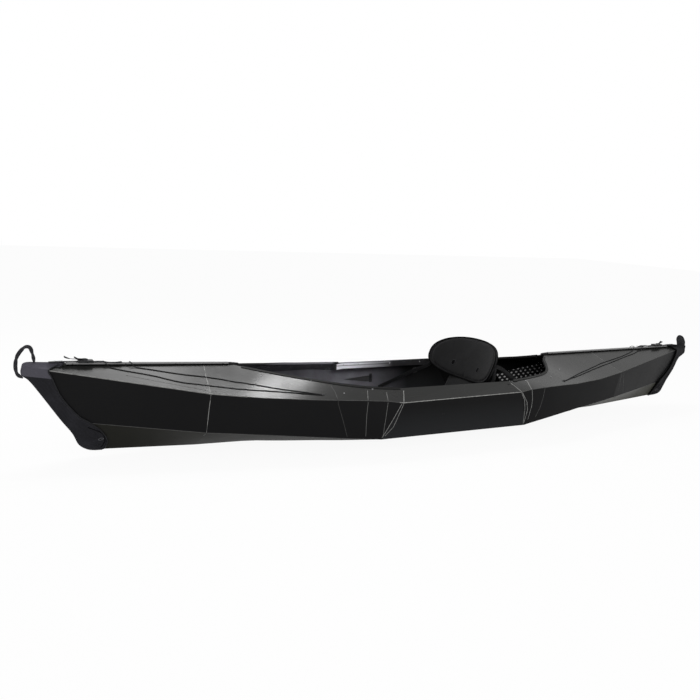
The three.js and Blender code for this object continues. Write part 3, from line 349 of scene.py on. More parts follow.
def cord_material(name, base, strands=4, pitch=0.007):
    """Braided sleeve on the cord's UV map: U round it in turns and V along it in metres."""
    n = Nodes(name)
    u, v, _ = n.split(n.coords("UV"))
    turns = n.times(u, 2 * math.pi * strands)
    run = n.times(v, 2 * math.pi / pitch)
    braid = n.maths("MAXIMUM", n.maths("SINE", n.plus(turns, run)), n.maths("SINE", n.minus(turns, run)))
    tone = n.mix(n.span(braid, -0.2, 1.0), shade(base, 0.4), shade(base, 2.2))
    return n.finish(tone, 0.72, n.bump(braid, 0.0004, 0.9), 0.15)


def moulding_material(name, base, roughness=0.42, level=0.4):
    """Moulded plastic with a spark-eroded grain and slight rubbing."""
    n = Nodes(name)
    cloud = n.noise(n.coords(), 30.0, 4, 0.6)
    tone = n.mix(cloud, shade(base, 0.8), shade(base, 1.4))
    rough = n.plus(n.span(cloud, 0.3, 0.7, -0.06, 0.08), roughness)
    return n.finish(tone, rough, n.grain(1400.0, 0.00008, 0.6), level)


def rail_material(name, base, line, slope, height):
    """Extruded channel: satin on top, with a dark painted shadow on its lower edge, which runs along the
    ridge's slope.
    """
    n = Nodes(name)
    place = n.split(n.coords())
    above = n.minus(place[2], n.times(place[0], slope))
    draw = n.noise(n.coords(scale=(3.0, 400.0, 400.0)), 2.0, 3, 0.6)
    tone = n.mix(draw, shade(base, 0.75), shade(base, 1.2))
    # Painted shadow: below a height over the ridge the channel turns dark.
    tone = n.mix(n.span(above, height + 0.0040, height + 0.0052), line, tone)
    return n.finish(tone, n.span(draw, 0.3, 0.7, 0.36, 0.48), n.bump(draw, 0.00008, 0.5), 0.3)


def trim_material(name, base, line, inner):
    """Edge trim: greyed on its top, a painted highlight, black on its outer side, and given the painted light
    of the walls' inner skin on its inner side at the front.
    """
    n = Nodes(name)
    normal = n.split(n.add("TexCoord").outputs["Normal"])
    place = n.split(n.coords())
    # Painted light: the inner side of the front trim takes the walls' pale inner colour.
    inward = n.span(n.times(normal[1], place[1]), -0.10, -0.16)
    inward = n.times(inward, n.span(place[0], -0.36, -0.34, 1.0, 0.0))
    cloud = n.noise(n.coords(), 25.0, 4, 0.6)
    tone = n.mix(cloud, shade(base, 0.7), shade(base, 1.2))
    # Painted highlight: faces that look up keep the lighter trim colour, and the others are black.
    tone = n.mix(n.span(normal[2], 0.70, 0.85), line, tone)
    tone = n.mix(inward, tone, inner)
    return n.finish(tone, n.span(cloud, 0.3, 0.7, 0.42, 0.55), n.grain(900.0, 0.00008, 0.5), 0.08)


def bar_material(name, base, middle=0.2600):
    """Anodised bar with lengthwise draw lines: pale, with a narrow dark band at its middle height, which is
    painted shade in its groove, and fading dark to the rear, which is painted shade.
    """
    n = Nodes(name)
    place = n.split(n.coords())
    lines = n.noise(n.coords(scale=(2.0, 300.0, 700.0)), 2.0, 3, 0.6)
    off = n.maths("ABSOLUTE", n.minus(place[2], middle))
    tone = n.mix(lines, shade(base, 0.85), base)
    # Painted shade: a narrow dark band along the groove at the middle height.
    tone = n.mix(n.span(off, 0.0014, 0.0030), shade(base, 0.3), tone)
    # Painted shade: the bar darkens towards the rear.
    tone = n.mix(n.span(place[0], -0.26, 0.0), tone, shade(base, 0.03))
    return n.finish(tone, n.span(lines, 0.3, 0.7, 0.30, 0.42), n.bump(lines, 0.0001, 0.5))


def dotted_material(name, base, dots, pitch, slope=0.11):
    """Sheet with rows of pale printed dots, staggered like bricks."""
    n = Nodes(name)
    place = n.split(n.coords())
    row = n.maths("DIVIDE", n.minus(place[2], n.times(place[0], slope)), pitch * 0.5)
    odd = n.maths("ABSOLUTE", n.times(n.maths("MODULO", n.maths("FLOOR", row), 2.0), 0.5))
    column = n.plus(n.maths("DIVIDE", place[0], pitch), odd)
    across = n.minus(n.maths("FRACT", column), 0.5)
    up = n.minus(n.maths("FRACT", row), 0.5)
    away = n.plus(n.maths("ABSOLUTE", n.times(across, 2.0)), n.maths("ABSOLUTE", n.times(up, 1.6)))
    spot = n.times(n.span(away, 0.50, 0.58, 1.0, 0.0), n.span(place[2], 0.10, 0.13))
    share = n.times(spot, n.span(n.noise(n.coords(), 40.0, 4, 0.6), 0.25, 0.5, 0.6, 1.0))
    body = n.mix(n.noise(n.coords(), 5.0, 3), shade(base, 0.8), shade(base, 1.3))
    return n.finish(n.mix(share, body, dots), 0.45, n.grain(420.0, 0.00005, 0.5), 0.35)


LOOKS = {}


def looks():
    """The shared materials, made once."""
    if not LOOKS:
        groups = ("webbing", "fittings", "seat", "sheet")
        web, fit, seat, sheet = (getattr(settings(), name) for name in groups)
        LOOKS.update(
            webbing=webbing_material("webbing_black", web.webbing),
            belt=webbing_material("belt_black", shade(web.webbing, 0.35)),
            grip=webbing_material("grip_grey", shade(web.webbing, 1.7)),
            thread=moulding_material("thread_grey", web.thread, 0.7, 0.2),
            # Pale rim round the caps' slots: a painted highlight on its raised edge.
            rim=moulding_material("slot_rim_grey", shade(web.thread, 2.4), 0.6, 0.3),
            moulding=moulding_material("moulding_black", fit.moulding, 0.42, 0.25),
            rivet=moulding_material("rivet_metal", (0.30, 0.30, 0.31), 0.35, 0.6),
            # The trim's inner side takes the walls' painted inner light, a little darker.
            trim=trim_material("trim_grey", fit.trim, shade(fit.moulding, 0.5), shade(sheet.inner, 0.8)),
            bar=bar_material("bar_anodised", fit.bar),
            cord=cord_material("cord_black", fit.cord),
            seat=cloth_material("seat_cloth", seat.cloth, shade(seat.cloth, 1.8), 1100.0, 0.85, 0.35),
            piping=moulding_material("piping_black", seat.piping, 0.7, 0.03),
            board=sheet_material("board_sheet_black", seat.board, 0.45, 0.3),
            dotted=dotted_material("board_sheet_dotted", seat.board, seat.dots, seat.dot_pitch),
            # Pale fold at the bow's gunwale: partly stretched plastic, partly a painted highlight along the
            # edge.
            fold=crease_material("fold_pale", shade(sheet.score, 0.75)),
        )
    return LOOKS


def look_of(look):
    """A shared material by its name, or the material itself."""
    return looks()[look] if isinstance(look, str) else look


def paint(mesh, look):
    mesh.materials.clear()
    mesh.materials.append(look_of(look))


# Mesh helpers


def link_object(name, data):
    made = bpy.data.objects.new(name, data)
    bpy.context.scene.collection.objects.link(made)
    return made


def new_piece(name, mesh, look, slot=None, body=HULL, smooth=True, closed=True, wrap=None):
    """A piece from vertices and faces. wrap is the function of its UV map with its values."""
    data = bpy.data.meshes.new(name)
    data.from_pydata([tuple(v) for v in mesh[0]], [], mesh[1])
    data.update()
    paint(data, look)
    if smooth:
        data.polygons.foreach_set("use_smooth", [True] * len(data.polygons))
    piece = link_object(name, data)
    if body:
        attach(piece, body)
    if wrap:
        wrap[0](data, *wrap[1:])
    if closed:
        outward(data)
    return piece


def outward(data, distance=1e-6):
    """Merges doubles and turns the faces of a closed mesh out."""
    made = bmesh.new()
    made.from_mesh(data)
    bmesh.ops.remove_doubles(made, verts=made.verts, dist=distance)
    bmesh.ops.recalc_face_normals(made, faces=made.faces)
    made.to_mesh(data)
    made.free()


def baked(thing):
    """An object's mesh with its modifiers applied; the modifiers are taken off."""
    mesh = bpy.data.meshes.new_from_object(thing.evaluated_get(bpy.context.evaluated_depsgraph_get()))
    thing.modifiers.clear()
    return mesh


def parts_of(mesh):
    return [v.co.copy() for v in mesh.vertices], [tuple(p.vertices) for p in mesh.polygons]


def join_meshes(parts):
    """One list of vertices and faces from several."""
    vertices, faces = [], []
    for points, polygons in parts:
        base = len(vertices)
        vertices += [tuple(p) for p in points]
        faces += [tuple(base + i for i in f) for f in polygons]
    return vertices, faces


def ring_mesh(rings, closed=False):
    """Vertices and faces of a solid through rings of points that all have the same count."""
    count = len(rings[0])
    vertices = [p for ring in rings for p in ring]
    faces = []
    for i in range(len(rings) if closed else len(rings) - 1):
        a, b = i * count, ((i + 1) % len(rings)) * count
        for j in range(count):
            k = (j + 1) % count
            faces.append((a + j, a + k, b + k, b + j))
    if not closed:
        faces.append(tuple(reversed(range(count))))
        faces.append(tuple(range((len(rings) - 1) * count, len(rings) * count)))
    return vertices, faces


def smoothed(points, count, closed=False):
    """Points spread evenly on a smooth curve through the given ones."""
    p = np.array([tuple(q) for q in points], float)
    if closed:
        p = np.vstack([p[-1:], p, p[:2]])
    else:
        p = np.vstack([2 * p[0] - p[1], p, 2 * p[-1] - p[-2]])
    fine = []
    for i in range(1, len(p) - 2):
        a, b, c, d = p[i - 1 : i + 3]
        for t in np.linspace(0, 1, 24, endpoint=False):
            bend = (2 * a - 5 * b + 4 * c - d) * t**2 + (3 * b - a - 3 * c + d) * t**3
            fine.append(0.5 * (2 * b + (c - a) * t + bend))
    fine.append(fine[0] if closed else p[-2])
    fine = np.array(fine)
    run = np.concatenate([[0], np.cumsum(np.linalg.norm(np.diff(fine, axis=0), axis=1))])
    at = np.linspace(0, run[-1], count + 1 if closed else count)
    even = np.stack([np.interp(at, run, fine[:, k]) for k in range(3)], 1)
    return [Vector(q) for q in (even[:-1] if closed else even)]


def upright(outline, count):
    """A smooth line through places along and up, in the boat's middle plane."""
    return smoothed([(x, 0, z) for x, z in outline], count)


def tangents(points, closed=False):
    count = len(points)
    found = []
    for i in range(count):
        before = points[i - 1] if closed or i > 0 else points[i]
        after = points[(i + 1) % count] if closed or i < count - 1 else points[i]
        found.append((after - before).normalized())
    return found


def runs(points):
    """How far along a line each of its points lies."""
    found = [0.0]
    for a, b in zip(points, points[1:]):
        found.append(found[-1] + (b - a).length)
    return found


def axes_on(normal, along):
    """A direction laid flat on a surface, and the one square to it."""
    along = (along - normal * along.dot(normal)).normalized()
    return along, normal.cross(along)


def circle(count):
    """Cosines and sines of angles spread round a circle."""
    angles = [2 * math.pi * k / count for k in range(count)]
    return [(math.cos(a), math.sin(a)) for a in angles]


def oval(count, power, half_u, half_v):
    """Places round a superellipse."""
    share = 2 / power
    return [
        (math.copysign(abs(c) ** share, c) * half_u, math.copysign(abs(s) ** share, s) * half_v)
        for c, s in circle(count)
    ]


def tube(points, radius, sides=10, closed=False, up=UP):
    rings = []
    for point, along in zip(points, tangents(points, closed)):
        side = along.cross(up)
        side = side.normalized() if side.length > 1e-6 else Vector((0, 1, 0))
        top = side.cross(along).normalized()
        rings.append([point + side * (c * radius) + top * (s * radius) for c, s in circle(sides)])
    return ring_mesh(rings, closed)


# A strap's section, across and up, with its edges softened.
RIBBON_SECTION = ((-1, 0.25), (-0.96, 0), (0.96, 0), (1, 0.25), (1, 0.75), (0.96, 1), (-0.96, 1), (-1, 0.75))


def ribbon(points, across, width, thick, lift=0.0):
    """A flat strap along points. across gives its sideways direction at each point."""
    rings = []
    for point, along, wide in zip(points, tangents(points), across):
        wide = (wide - along * wide.dot(along)).normalized()
        up = wide.cross(along).normalized()
        half = width / 2
        rings.append([point + wide * (a * half) + up * (lift + b * thick) for a, b in RIBBON_SECTION])
    return ring_mesh(rings)


def strip_uv(data, per_ring, run):
    """UV in metres on a strap whose vertices come ring by ring: U across it and V along it."""
    layer = data.uv_layers.new(name="UVMap")
    places = [v.co for v in data.vertices]
    widths = [(place - places[k - k % per_ring]).length for k, place in enumerate(places)]
    for loop in data.loops:
        v = loop.vertex_index
        layer.data[loop.index].uv = (widths[v], run[min(v // per_ring, len(run) - 1)])


def cord_uv(data, sides, run):
    """UV on a tube whose vertices come ring by ring: U in turns round it and V in metres along it."""
    layer = data.uv_layers.new(name="UVMap")
    for polygon in data.polygons:
        corners = [(loop, *divmod(data.loops[loop].vertex_index, sides)) for loop in polygon.loop_indices]
        last_ring = max(ring for _, ring, _ in corners)
        last_turn = max(turn for _, _, turn in corners)
        for loop, ring, turn in corners:
            u = 1.0 if turn == 0 and last_turn == sides - 1 else turn / sides
            wrapped = ring == 0 and last_ring > 1
            v = run[-1] + (run[1] - run[0]) if wrapped else run[min(ring, len(run) - 1)]
            layer.data[loop].uv = (u, v)


def rounded_plate(centre, along, wide, normal, long_half, wide_half, thick):
    """A small plate with round ends that lies on a surface."""
    outline = []
    for c, s in circle(24):
        shift = (long_half - wide_half) * (1 if c > 0 else -1)
        outline.append((shift + wide_half * c, wide_half * s))
    rings = []
    for grow, rise in ((1.0, -0.0006), (1.0, thick * 0.6), (0.9, thick)):
        rings.append([centre + along * a * grow + wide * b * grow + normal * rise for a, b in outline])
    return ring_mesh(rings)


def oval_rim(centre, along, wide, normal, halves, lift, radius, count):
    """A thin raised rim round a slot."""
    long_half, wide_half = halves
    line = []
    for c, s in circle(count):
        line.append(centre + along * (long_half * c) + wide * (wide_half * s) + normal * lift)
    return tube(line, radius, 6, closed=True, up=normal)


# The frame's surfaces

SPANS = ("bow", "front", "mid", "rear", "stern")
TREES = {}


def hull_nodes(word):
    found = [f"{span}_{part}_{word}" for span in SPANS for part in ("side", "deck")]
    return found + [f"{span}_bottom_{word}" for span in SPANS if span != "mid"] + ["mid_bottom"]


WHOLE_HULL = hull_nodes("port") + hull_nodes("starboard")


def tree_of(*names):
    if names not in TREES:
        TREES[names] = BVHTree.FromPolygons(*join_meshes(parts_of(nodes[name].data) for name in names))
    return TREES[names]


def hit(tree, start, direction):
    """The place where a ray meets a surface and the normal on its near side, or None."""
    place, normal, _, _ = tree.ray_cast(Vector(start), Vector(direction).normalized())
    if place is None:
        return None
    return place, -normal if normal.dot(Vector(direction)) > 0 else normal


def from_abeam(tree, side, x, z, away=0.3):
    """The place and normal on the outside of one side of the boat."""
    return hit(tree, (x, side * away, z), (0, -side, 0))


def from_amidships(tree, side, x, z):
    """The place and normal on the inside of one side of the boat."""
    return hit(tree, (x, side * 0.1, z), (0, side, 0))


def on_side(word, x, z):
    return from_abeam(tree_of(*hull_nodes(word)), SIDES[word], x, z, 1.0)


def on_top(names, x, y):
    return hit(tree_of(*names), (x, y, 1.0), (0, 0, -1))


def on_deck(word, x, y):
    return on_top(hull_nodes(word), x, SIDES[word] * y)


def surface_line(word, corners, spacing, cast):
    """Points and normals on the hull along a line of corners."""
    places = []
    for (a, b), (c, d) in zip(corners, corners[1:]):
        count = max(2, int(math.hypot(c - a, d - b) / spacing))
        places += [(a + (c - a) * (k / count), b + (d - b) * (k / count)) for k in range(count)]
    found = [cast(word, a, b) for a, b in [*places, corners[-1]]]
    return [f for f in found if f]


def crease_ribbon(found, width, rise, sunk=0.0004):
    """A low ridge along a crease, with its foot sunk in the sheet."""
    rings = []
    for (point, normal), along in zip(found, tangents([p for p, _ in found])):
        wide = along.cross(normal).normalized()
        base = point - normal * sunk
        slope = point + normal * rise * 0.55
        rings.append(
            [
                base - wide * width / 2,
                base + wide * width / 2,
                slope + wide * width * 0.32,
                point + normal * rise,
                slope - wide * width * 0.32,
            ]
        )
    return ring_mesh(rings)


# Repeated items: stitches and rivets


def item_stitch(tree):
    ball = add_node(tree, "GeometryNodeMeshUVSphere", {"Segments": 8, "Rings": 5, "Radius": 0.5})
    return [ball.outputs["Mesh"]]


def item_rivet(tree):
    washer = add_node(tree, "GeometryNodeMeshCylinder", {"Vertices": 20, "Radius": 0.5, "Depth": 0.5})
    dome = add_node(tree, "GeometryNodeMeshUVSphere", {"Segments": 16, "Rings": 8, "Radius": 0.36})
    raised = {"Geometry": dome.outputs["Mesh"], "Translation": (0, 0, 0.3)}
    up = add_node(tree, "GeometryNodeTransform", raised)
    return [washer.outputs["Mesh"], up.outputs["Geometry"]]


def repeat_tree(name, item):
    """A node group that puts one item on every point, turned as the point says."""
    tree = bpy.data.node_groups.new(name, "GeometryNodeTree")
    sockets = {}
    kinds = {"Places": "Geometry", "Size": "Vector", "Material": "Material", "Seed": "Int"}
    for label, kind in kinds.items():
        socket = tree.interface.new_socket(label, in_out="INPUT", socket_type="NodeSocket" + kind)
        sockets[label] = socket.identifier
    tree.interface.new_socket("Items", in_out="OUTPUT", socket_type="NodeSocketGeometry")

    def add(kind, inputs, **values):
        return next(o for o in add_node(tree, kind, inputs, **values).outputs if o.enabled)

    given = tree.nodes.new("NodeGroupInput").outputs
    join = tree.nodes.new("GeometryNodeJoinGeometry")
    for part in item(tree):
        tree.links.new(part, join.inputs[0])
    turn = add("GeometryNodeInputNamedAttribute", {"Name": "turn"}, data_type="FLOAT_VECTOR")
    vary = {"Min": 0.92, "Max": 1.08, "Seed": given["Seed"]}
    vary = add("FunctionNodeRandomValue", vary, data_type="FLOAT")
    scale = add("ShaderNodeVectorMath", {0: given["Size"], "Scale": vary}, operation="SCALE")
    spread = {"Points": given["Places"], "Instance": join.outputs[0], "Scale": scale}
    spread["Rotation"] = add("FunctionNodeEulerToRotation", {0: turn})
    real = add("GeometryNodeRealizeInstances", {0: add("GeometryNodeInstanceOnPoints", spread)})
    painted = add("GeometryNodeSetMaterial", {"Geometry": real, "Material": given["Material"]})
    tree.links.new(painted, tree.nodes.new("NodeGroupOutput").inputs[0])
    return tree, sockets


REPEATS = {}


def repeated(name, kind, places, size, look, slot, body=HULL, seed=7):
    """One mesh with an item at each place. A place is a point, the item's long direction and its normal."""
    if kind not in REPEATS:
        REPEATS[kind] = repeat_tree(kind, {"stitches": item_stitch, "rivets": item_rivet}[kind])
    tree, sockets = REPEATS[kind]
    mesh = bpy.data.meshes.new(name + "_places")
    mesh.from_pydata([tuple(p) for p, _, _ in places], [], [])
    turn = mesh.attributes.new("turn", "FLOAT_VECTOR", "POINT")
    for index, (_, along, normal) in enumerate(places):
        z = normal.normalized()
        turn.data[index].vector = Matrix((*axes_on(z, along), z)).transposed().to_euler()
    holder = link_object(name + "_places", mesh)
    modifier = holder.modifiers.new(kind, "NODES")
    modifier.node_group = tree
    for label, value in (("Size", size), ("Material", look_of(look)), ("Seed", seed)):
        modifier[sockets[label]] = value
    made = baked(holder)
    made.name = name
    made.polygons.foreach_set("use_smooth", [True] * len(made.polygons))
    piece = link_object(name, made)
    bpy.data.objects.remove(holder)
    bpy.data.meshes.remove(mesh)
    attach(piece, body)


def stitch_places(points, normals, pitch, start=0.5):
    """Places every pitch along a line of points with normals."""
    run = runs(points)
    places = []
    at = pitch * start
    while at < run[-1] - pitch * 0.4:
        k = max(i for i in range(len(run) - 1) if run[i] <= at)
        t = (at - run[k]) / max(run[k + 1] - run[k], 1e-9)
        place = points[k].lerp(points[k + 1], t)
        places.append((place, points[k + 1] - points[k], normals[k].lerp(normals[k + 1], t)))
        at += pitch
    return places


# Hull: panels, folds and creases

# The gunwale's line from bow to stern, on the starboard side.
GUNWALE = [
    (-1.8, 0.015, 0.3751), (-1.148, 0.2009, 0.2759), (-0.944, 0.2531, 0.2581), (-0.74, 0.3019, 0.2485),
    (-0.535, 0.3448, 0.2421), (-0.414, 0.3648, 0.2361), (-0.333, 0.37, 0.2244), (0.318, 0.37, 0.2336),
    (0.375, 0.3674, 0.2416), (0.521, 0.3489, 0.2446), (0.721, 0.306, 0.2386), (0.9255, 0.256, 0.2409),
    (1.127, 0.2009, 0.256), (1.7949, 0.013, 0.333),
]
# The chine's line from bow to stern, on the starboard side.
CHINE = [
    (-1.608, 0.0138, 0.1428), (-1.148, 0.15, 0.0991), (-1.0404, 0.1788, 0.0938), (-0.9251, 0.2085, 0.0874),
    (-0.7765, 0.2442, 0.0776), (-0.628, 0.2773, 0.0673), (-0.4765, 0.3056, 0.0566), (-0.403, 0.315, 0.0511),
    (0.3978, 0.315, 0.0541), (0.4998, 0.2994, 0.0696), (0.6166, 0.2821, 0.082), (0.727, 0.2639, 0.0882),
    (0.8653, 0.2284, 0.1005), (1.0337, 0.188, 0.1083), (1.1299, 0.1651, 0.1112), (1.616, 0.0138, 0.134),
]
# Creases down each side as places along and up, from the strong pale ones to the least.
SIDE_CREASES = {
    "strong": [
        [(-1.148, 0.274), (-1.149, 0.204), (-1.148, 0.101), (-1.151, 0.06), (-1.1545, 0.014)],
        [(-0.331, 0.222), (-0.343, 0.166), (-0.356, 0.108), (-0.389, 0.066)],
        [(-0.341, 0.22), (-0.364, 0.153), (-0.386, 0.096), (-0.402, 0.058)],
        [(0.318, 0.231), (0.35, 0.19), (0.369, 0.146), (0.388, 0.059)],
        [(0.323, 0.231), (0.371, 0.177), (0.39, 0.133), (0.391, 0.064)],
        [(0.383, 0.24), (0.406, 0.184), (0.413, 0.147), (0.412, 0.08)],
    ],
    "medium": [
        [(-0.5, 0.243), (-0.494, 0.173), (-0.479, 0.07)],
        [(-0.409, 0.236), (-0.403, 0.155), (-0.398, 0.062)],
    ],
    "trace": [[(-0.631, 0.242), (-0.628, 0.228), (-0.595, 0.152), (-0.562, 0.07)]],
    "faint": [
        [(0.472, 0.241), (0.478, 0.188), (0.477, 0.139), (0.463, 0.088)],
        [(1.14, 0.247), (1.157, 0.19), (1.163, 0.132)],
        [(1.165, 0.248), (1.196, 0.185), (1.222, 0.135)],
    ],
}
# Creases across each deck as places along and out from the middle.
DECK_CREASES = {
    "strong": [
        [(-1.122, 0.012), (-1.1375, 0.109), (-1.148, 0.199)],
        [(-0.306, 0.318), (-0.314, 0.336), (-0.3315, 0.3685)],
        [(0.29, 0.316), (0.304, 0.341), (0.318, 0.3685)], [(0.41, 0.29), (0.38, 0.365)],
    ],
    "medium": [
        [(-0.478, 0.3), (-0.5, 0.349)], [(-0.394, 0.32), (-0.409, 0.364)],
        [(1.087, 0.014), (1.109, 0.114), (1.13, 0.199)],
    ],
    "trace": [[(-0.628, 0.245), (-0.625, 0.28), (-0.631, 0.322)]],
    "faint": [[(0.49, 0.27), (0.47, 0.355)], [(-1.46, 0.07), (-1.122, 0.19)]],
}


def skin_panel(node, look, slot):
    """A merged copy of a bent sheet panel with smooth shading, which takes the panel's place."""
    made = bmesh.new()
    made.from_mesh(nodes[node].data)
    bmesh.ops.remove_doubles(made, verts=made.verts, dist=MERGE)
    made.verts.index_update()
    mesh = [v.co.copy() for v in made.verts], [[v.index for v in f.verts] for f in made.faces]
    made.free()
    piece = new_piece(f"{node}_skin", mesh, look, slot, closed=False)
    piece.data.set_sharp_from_angle(angle=math.radians(25))
    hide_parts(node)


def dress_hull():
    """Gives the frame's own panels and fittings their materials, and the bent panels their skins."""
    look, fit = settings().sheet, settings().fittings
    # The lighter low part of the middle walls, a painted reflection of the floor.
    foot = (0.0190, 0.0200, 0.0215)
    sheets = {
        "side": sheet_material("side_sheet_black", shade(look.sheet, 1.2), 0.44, 0.05, look.inner),
        "deck": sheet_material("deck_sheet_black", look.deck, 0.25, 0.21, look.inner),
        "bottom": sheet_material("bottom_sheet_black", look.bottom, 0.48, 0.05),
        "mid_side": sheet_material("mid_side_sheet_black", look.sheet, 0.44, 0.05, look.inner, foot),
        # Painted shade and light: the rear sides and the front bottoms are darker copies of the sheet, and
        # the stern bottoms a much lighter one.
        "rear_side": sheet_material("rear_side_sheet_black", shade(look.sheet, 1.1), 0.46, 0.033, look.inner),
        "front_bottom": sheet_material("front_bottom_sheet_black", shade(look.bottom, 0.7), 0.48, 0.05),
        "stern_bottom": sheet_material("stern_bottom_sheet_black", shade(look.bottom, 3.2), 0.48, 0.08),
    }
    for name in list(nodes):
        span, part = (name.split("_") + [""])[:2]
        if span in SPANS and part in ("side", "deck", "bottom"):
            sheet = sheets.get(f"{span}_{part}", sheets[part])
            paint(nodes[name].data, sheet)
            if span != "mid":
                skin_panel(name, sheet, f"{part}_sheet")
    # The dark colour of the channels' lower edge, a painted shadow of their gap at the deck.
    black = shade(fit.moulding, 0.5)
    fittings = {
        "front_channel": rail_material("front_rail_painted_shadow", fit.rail, black, -0.03835, 0.3158),
        "rear_channel": rail_material("rear_rail_painted_shadow", fit.rail, black, 0.00985, 0.3234),
        "floorboard": "board",
        "foot_brace": "board",
    }
    for word in SIDES:
        fittings.update({f"{end}_trim_{word}": "trim" for end in ("front", "rear")})
        fittings.update({f"rim_bar_{word}": "bar", f"floorboard_wing_{word}": "dotted"})
    for end in ("bow", "stern"):
        fittings.update({f"{end}_buckle{part}": "moulding" for part in ("", "_tongue")})
    for name, fitting in fittings.items():
        paint(nodes[name].data, fitting)


def edge_line(corners, side, spacing=0.02):
    """Points every so far along corners of the starboard side, on either side of the hull."""
    points = [Vector((x, side * y, z)) for x, y, z in corners]
    line = []
    for a, b in zip(points, points[1:]):
        count = max(1, int((b - a).length / spacing))
        line += [a.lerp(b, k / count) for k in range(count)]
    return [*line, points[-1]]


def build_folds():
    """Rounds the folded edges of the sheet with thin beads and draws the creases."""
    look = settings().sheet
    shares = {"pale": 1.0, "medium": 0.48, "faint": 0.17, "dim": 0.10}
    materials = [crease_material(f"crease_{k}", shade(look.score, share)) for k, share in shares.items()]
    pale, medium, faint, dim = materials
    tones = (("strong", pale, 1.0), ("medium", medium, 0.9), ("faint", faint, 0.9), ("trace", dim, 0.8))
    for word, side in SIDES.items():
        line = edge_line(GUNWALE, side)
        # The pale gunwale lines are partly stretched plastic in the fold and partly a painted highlight along
        # its edge.
        for name, points, radius, material in (
            ("gunwale_fold", [p for p in line if p.x < -1.0], 0.0022, "fold"),
            ("gunwale_bead", [p for p in line if -1.02 < p.x < -0.31 or 0.30 < p.x], 0.0013, faint),
            ("gunwale_crease", [p for p in line if -0.36 < p.x < 0.33], 0.0018, pale),
        ):
            stretches = [[points[0]]]
            for a, b in zip(points, points[1:]):
                if (b - a).length > 0.05:
                    stretches.append([])
                stretches[-1].append(b)
            parts = [tube(p, radius, 6) for p in stretches if len(p) > 1]
            new_piece(f"{name}_{word}", join_meshes(parts), material, "side_sheet")
        line = edge_line(CHINE, side)
        front = tube([p for p in line if p.x < -0.98], 0.0013, 6)
        new_piece(f"chine_fold_{word}", front, faint, "bottom_sheet")
        rest = tube([p for p in line if p.x > -1.0], 0.0011, 6)
        new_piece(f"chine_bead_{word}", rest, dim, "bottom_sheet")
        for tone, material, width in tones:
            parts = []
            for creases, cast, wider in ((SIDE_CREASES, on_side, 1.0), (DECK_CREASES, on_deck, 1.4)):
                for corners in creases[tone]:
                    found = surface_line(word, corners, 0.01, cast)
                    if len(found) > 2:
                        parts.append(crease_ribbon(found, look.score_width * width * wider, look.score_rise))
            new_piece(f"creases_{tone}_{word}", join_meshes(parts), material, "side_sheet")


# End caps

# The outlines of the caps in the upright plane through the middle: the centre line from the top's rear end
# round the nose and along the keel, and the rear edge from the top down to the keel. Then the place of the
# slot, the line of the rolled edge beside it, which is drawn black as painted shade along the fold, and the
# height above which a second panel is sewn on.
CAPS = {
    "bow": {
        "node": "bow_cap",
        "centre": [
            (-1.684, 0.3935), (-1.76, 0.3965), (-1.83, 0.3985), (-1.845, 0.378), (-1.845, 0.3488),
            (-1.818, 0.3248), (-1.778, 0.27), (-1.704, 0.161), (-1.659, 0.1), (-1.635, 0.052),
            (-1.606, 0.03), (-1.577, 0.022), (-1.542, 0.0205),
        ],
        "rear": [
            (-1.684, 0.39), (-1.746, 0.371), (-1.737, 0.339), (-1.708, 0.269), (-1.671, 0.214),
            (-1.633, 0.171), (-1.591, 0.143), (-1.551, 0.108), (-1.526, 0.068), (-1.528, 0.04),
            (-1.542, 0.0205),
        ],
        "flap": (-1.55, 0.072),
        "roll": [
            (-1.6, 0.124), (-1.572, 0.112), (-1.547, 0.098), (-1.534, 0.076), (-1.537, 0.052),
            (-1.548, 0.036),
        ],
        "upper": 0.1245,
    },
    "stern": {
        "node": "stern_cap",
        "centre": [
            (1.693, 0.352), (1.78, 0.353), (1.838, 0.3525), (1.845, 0.33), (1.843, 0.302), (1.801, 0.276),
            (1.763, 0.205), (1.72, 0.145), (1.691, 0.097), (1.673, 0.071), (1.645, 0.06), (1.606, 0.0563),
            (1.58, 0.0548),
        ],
        "rear": [
            (1.693, 0.35), (1.737, 0.318), (1.733, 0.25), (1.7, 0.196), (1.648, 0.149), (1.61, 0.106),
            (1.588, 0.073), (1.58, 0.0548),
        ],
        "flap": (1.628, 0.09),
    },
}
CAP_ROWS = 150
CAP_COLUMNS = 34
# How far the cloth puffs out about the slot, and the ring of gathers sewn round it.
PUFF, PUFF_REACH = 0.0055, 0.045
GATHER, GATHER_RING, GATHER_WIDTH = 0.0024, 0.030, 0.022
# How near the centre line the cloth turns round to the other side.
NOSE_ROUNDING = 0.010


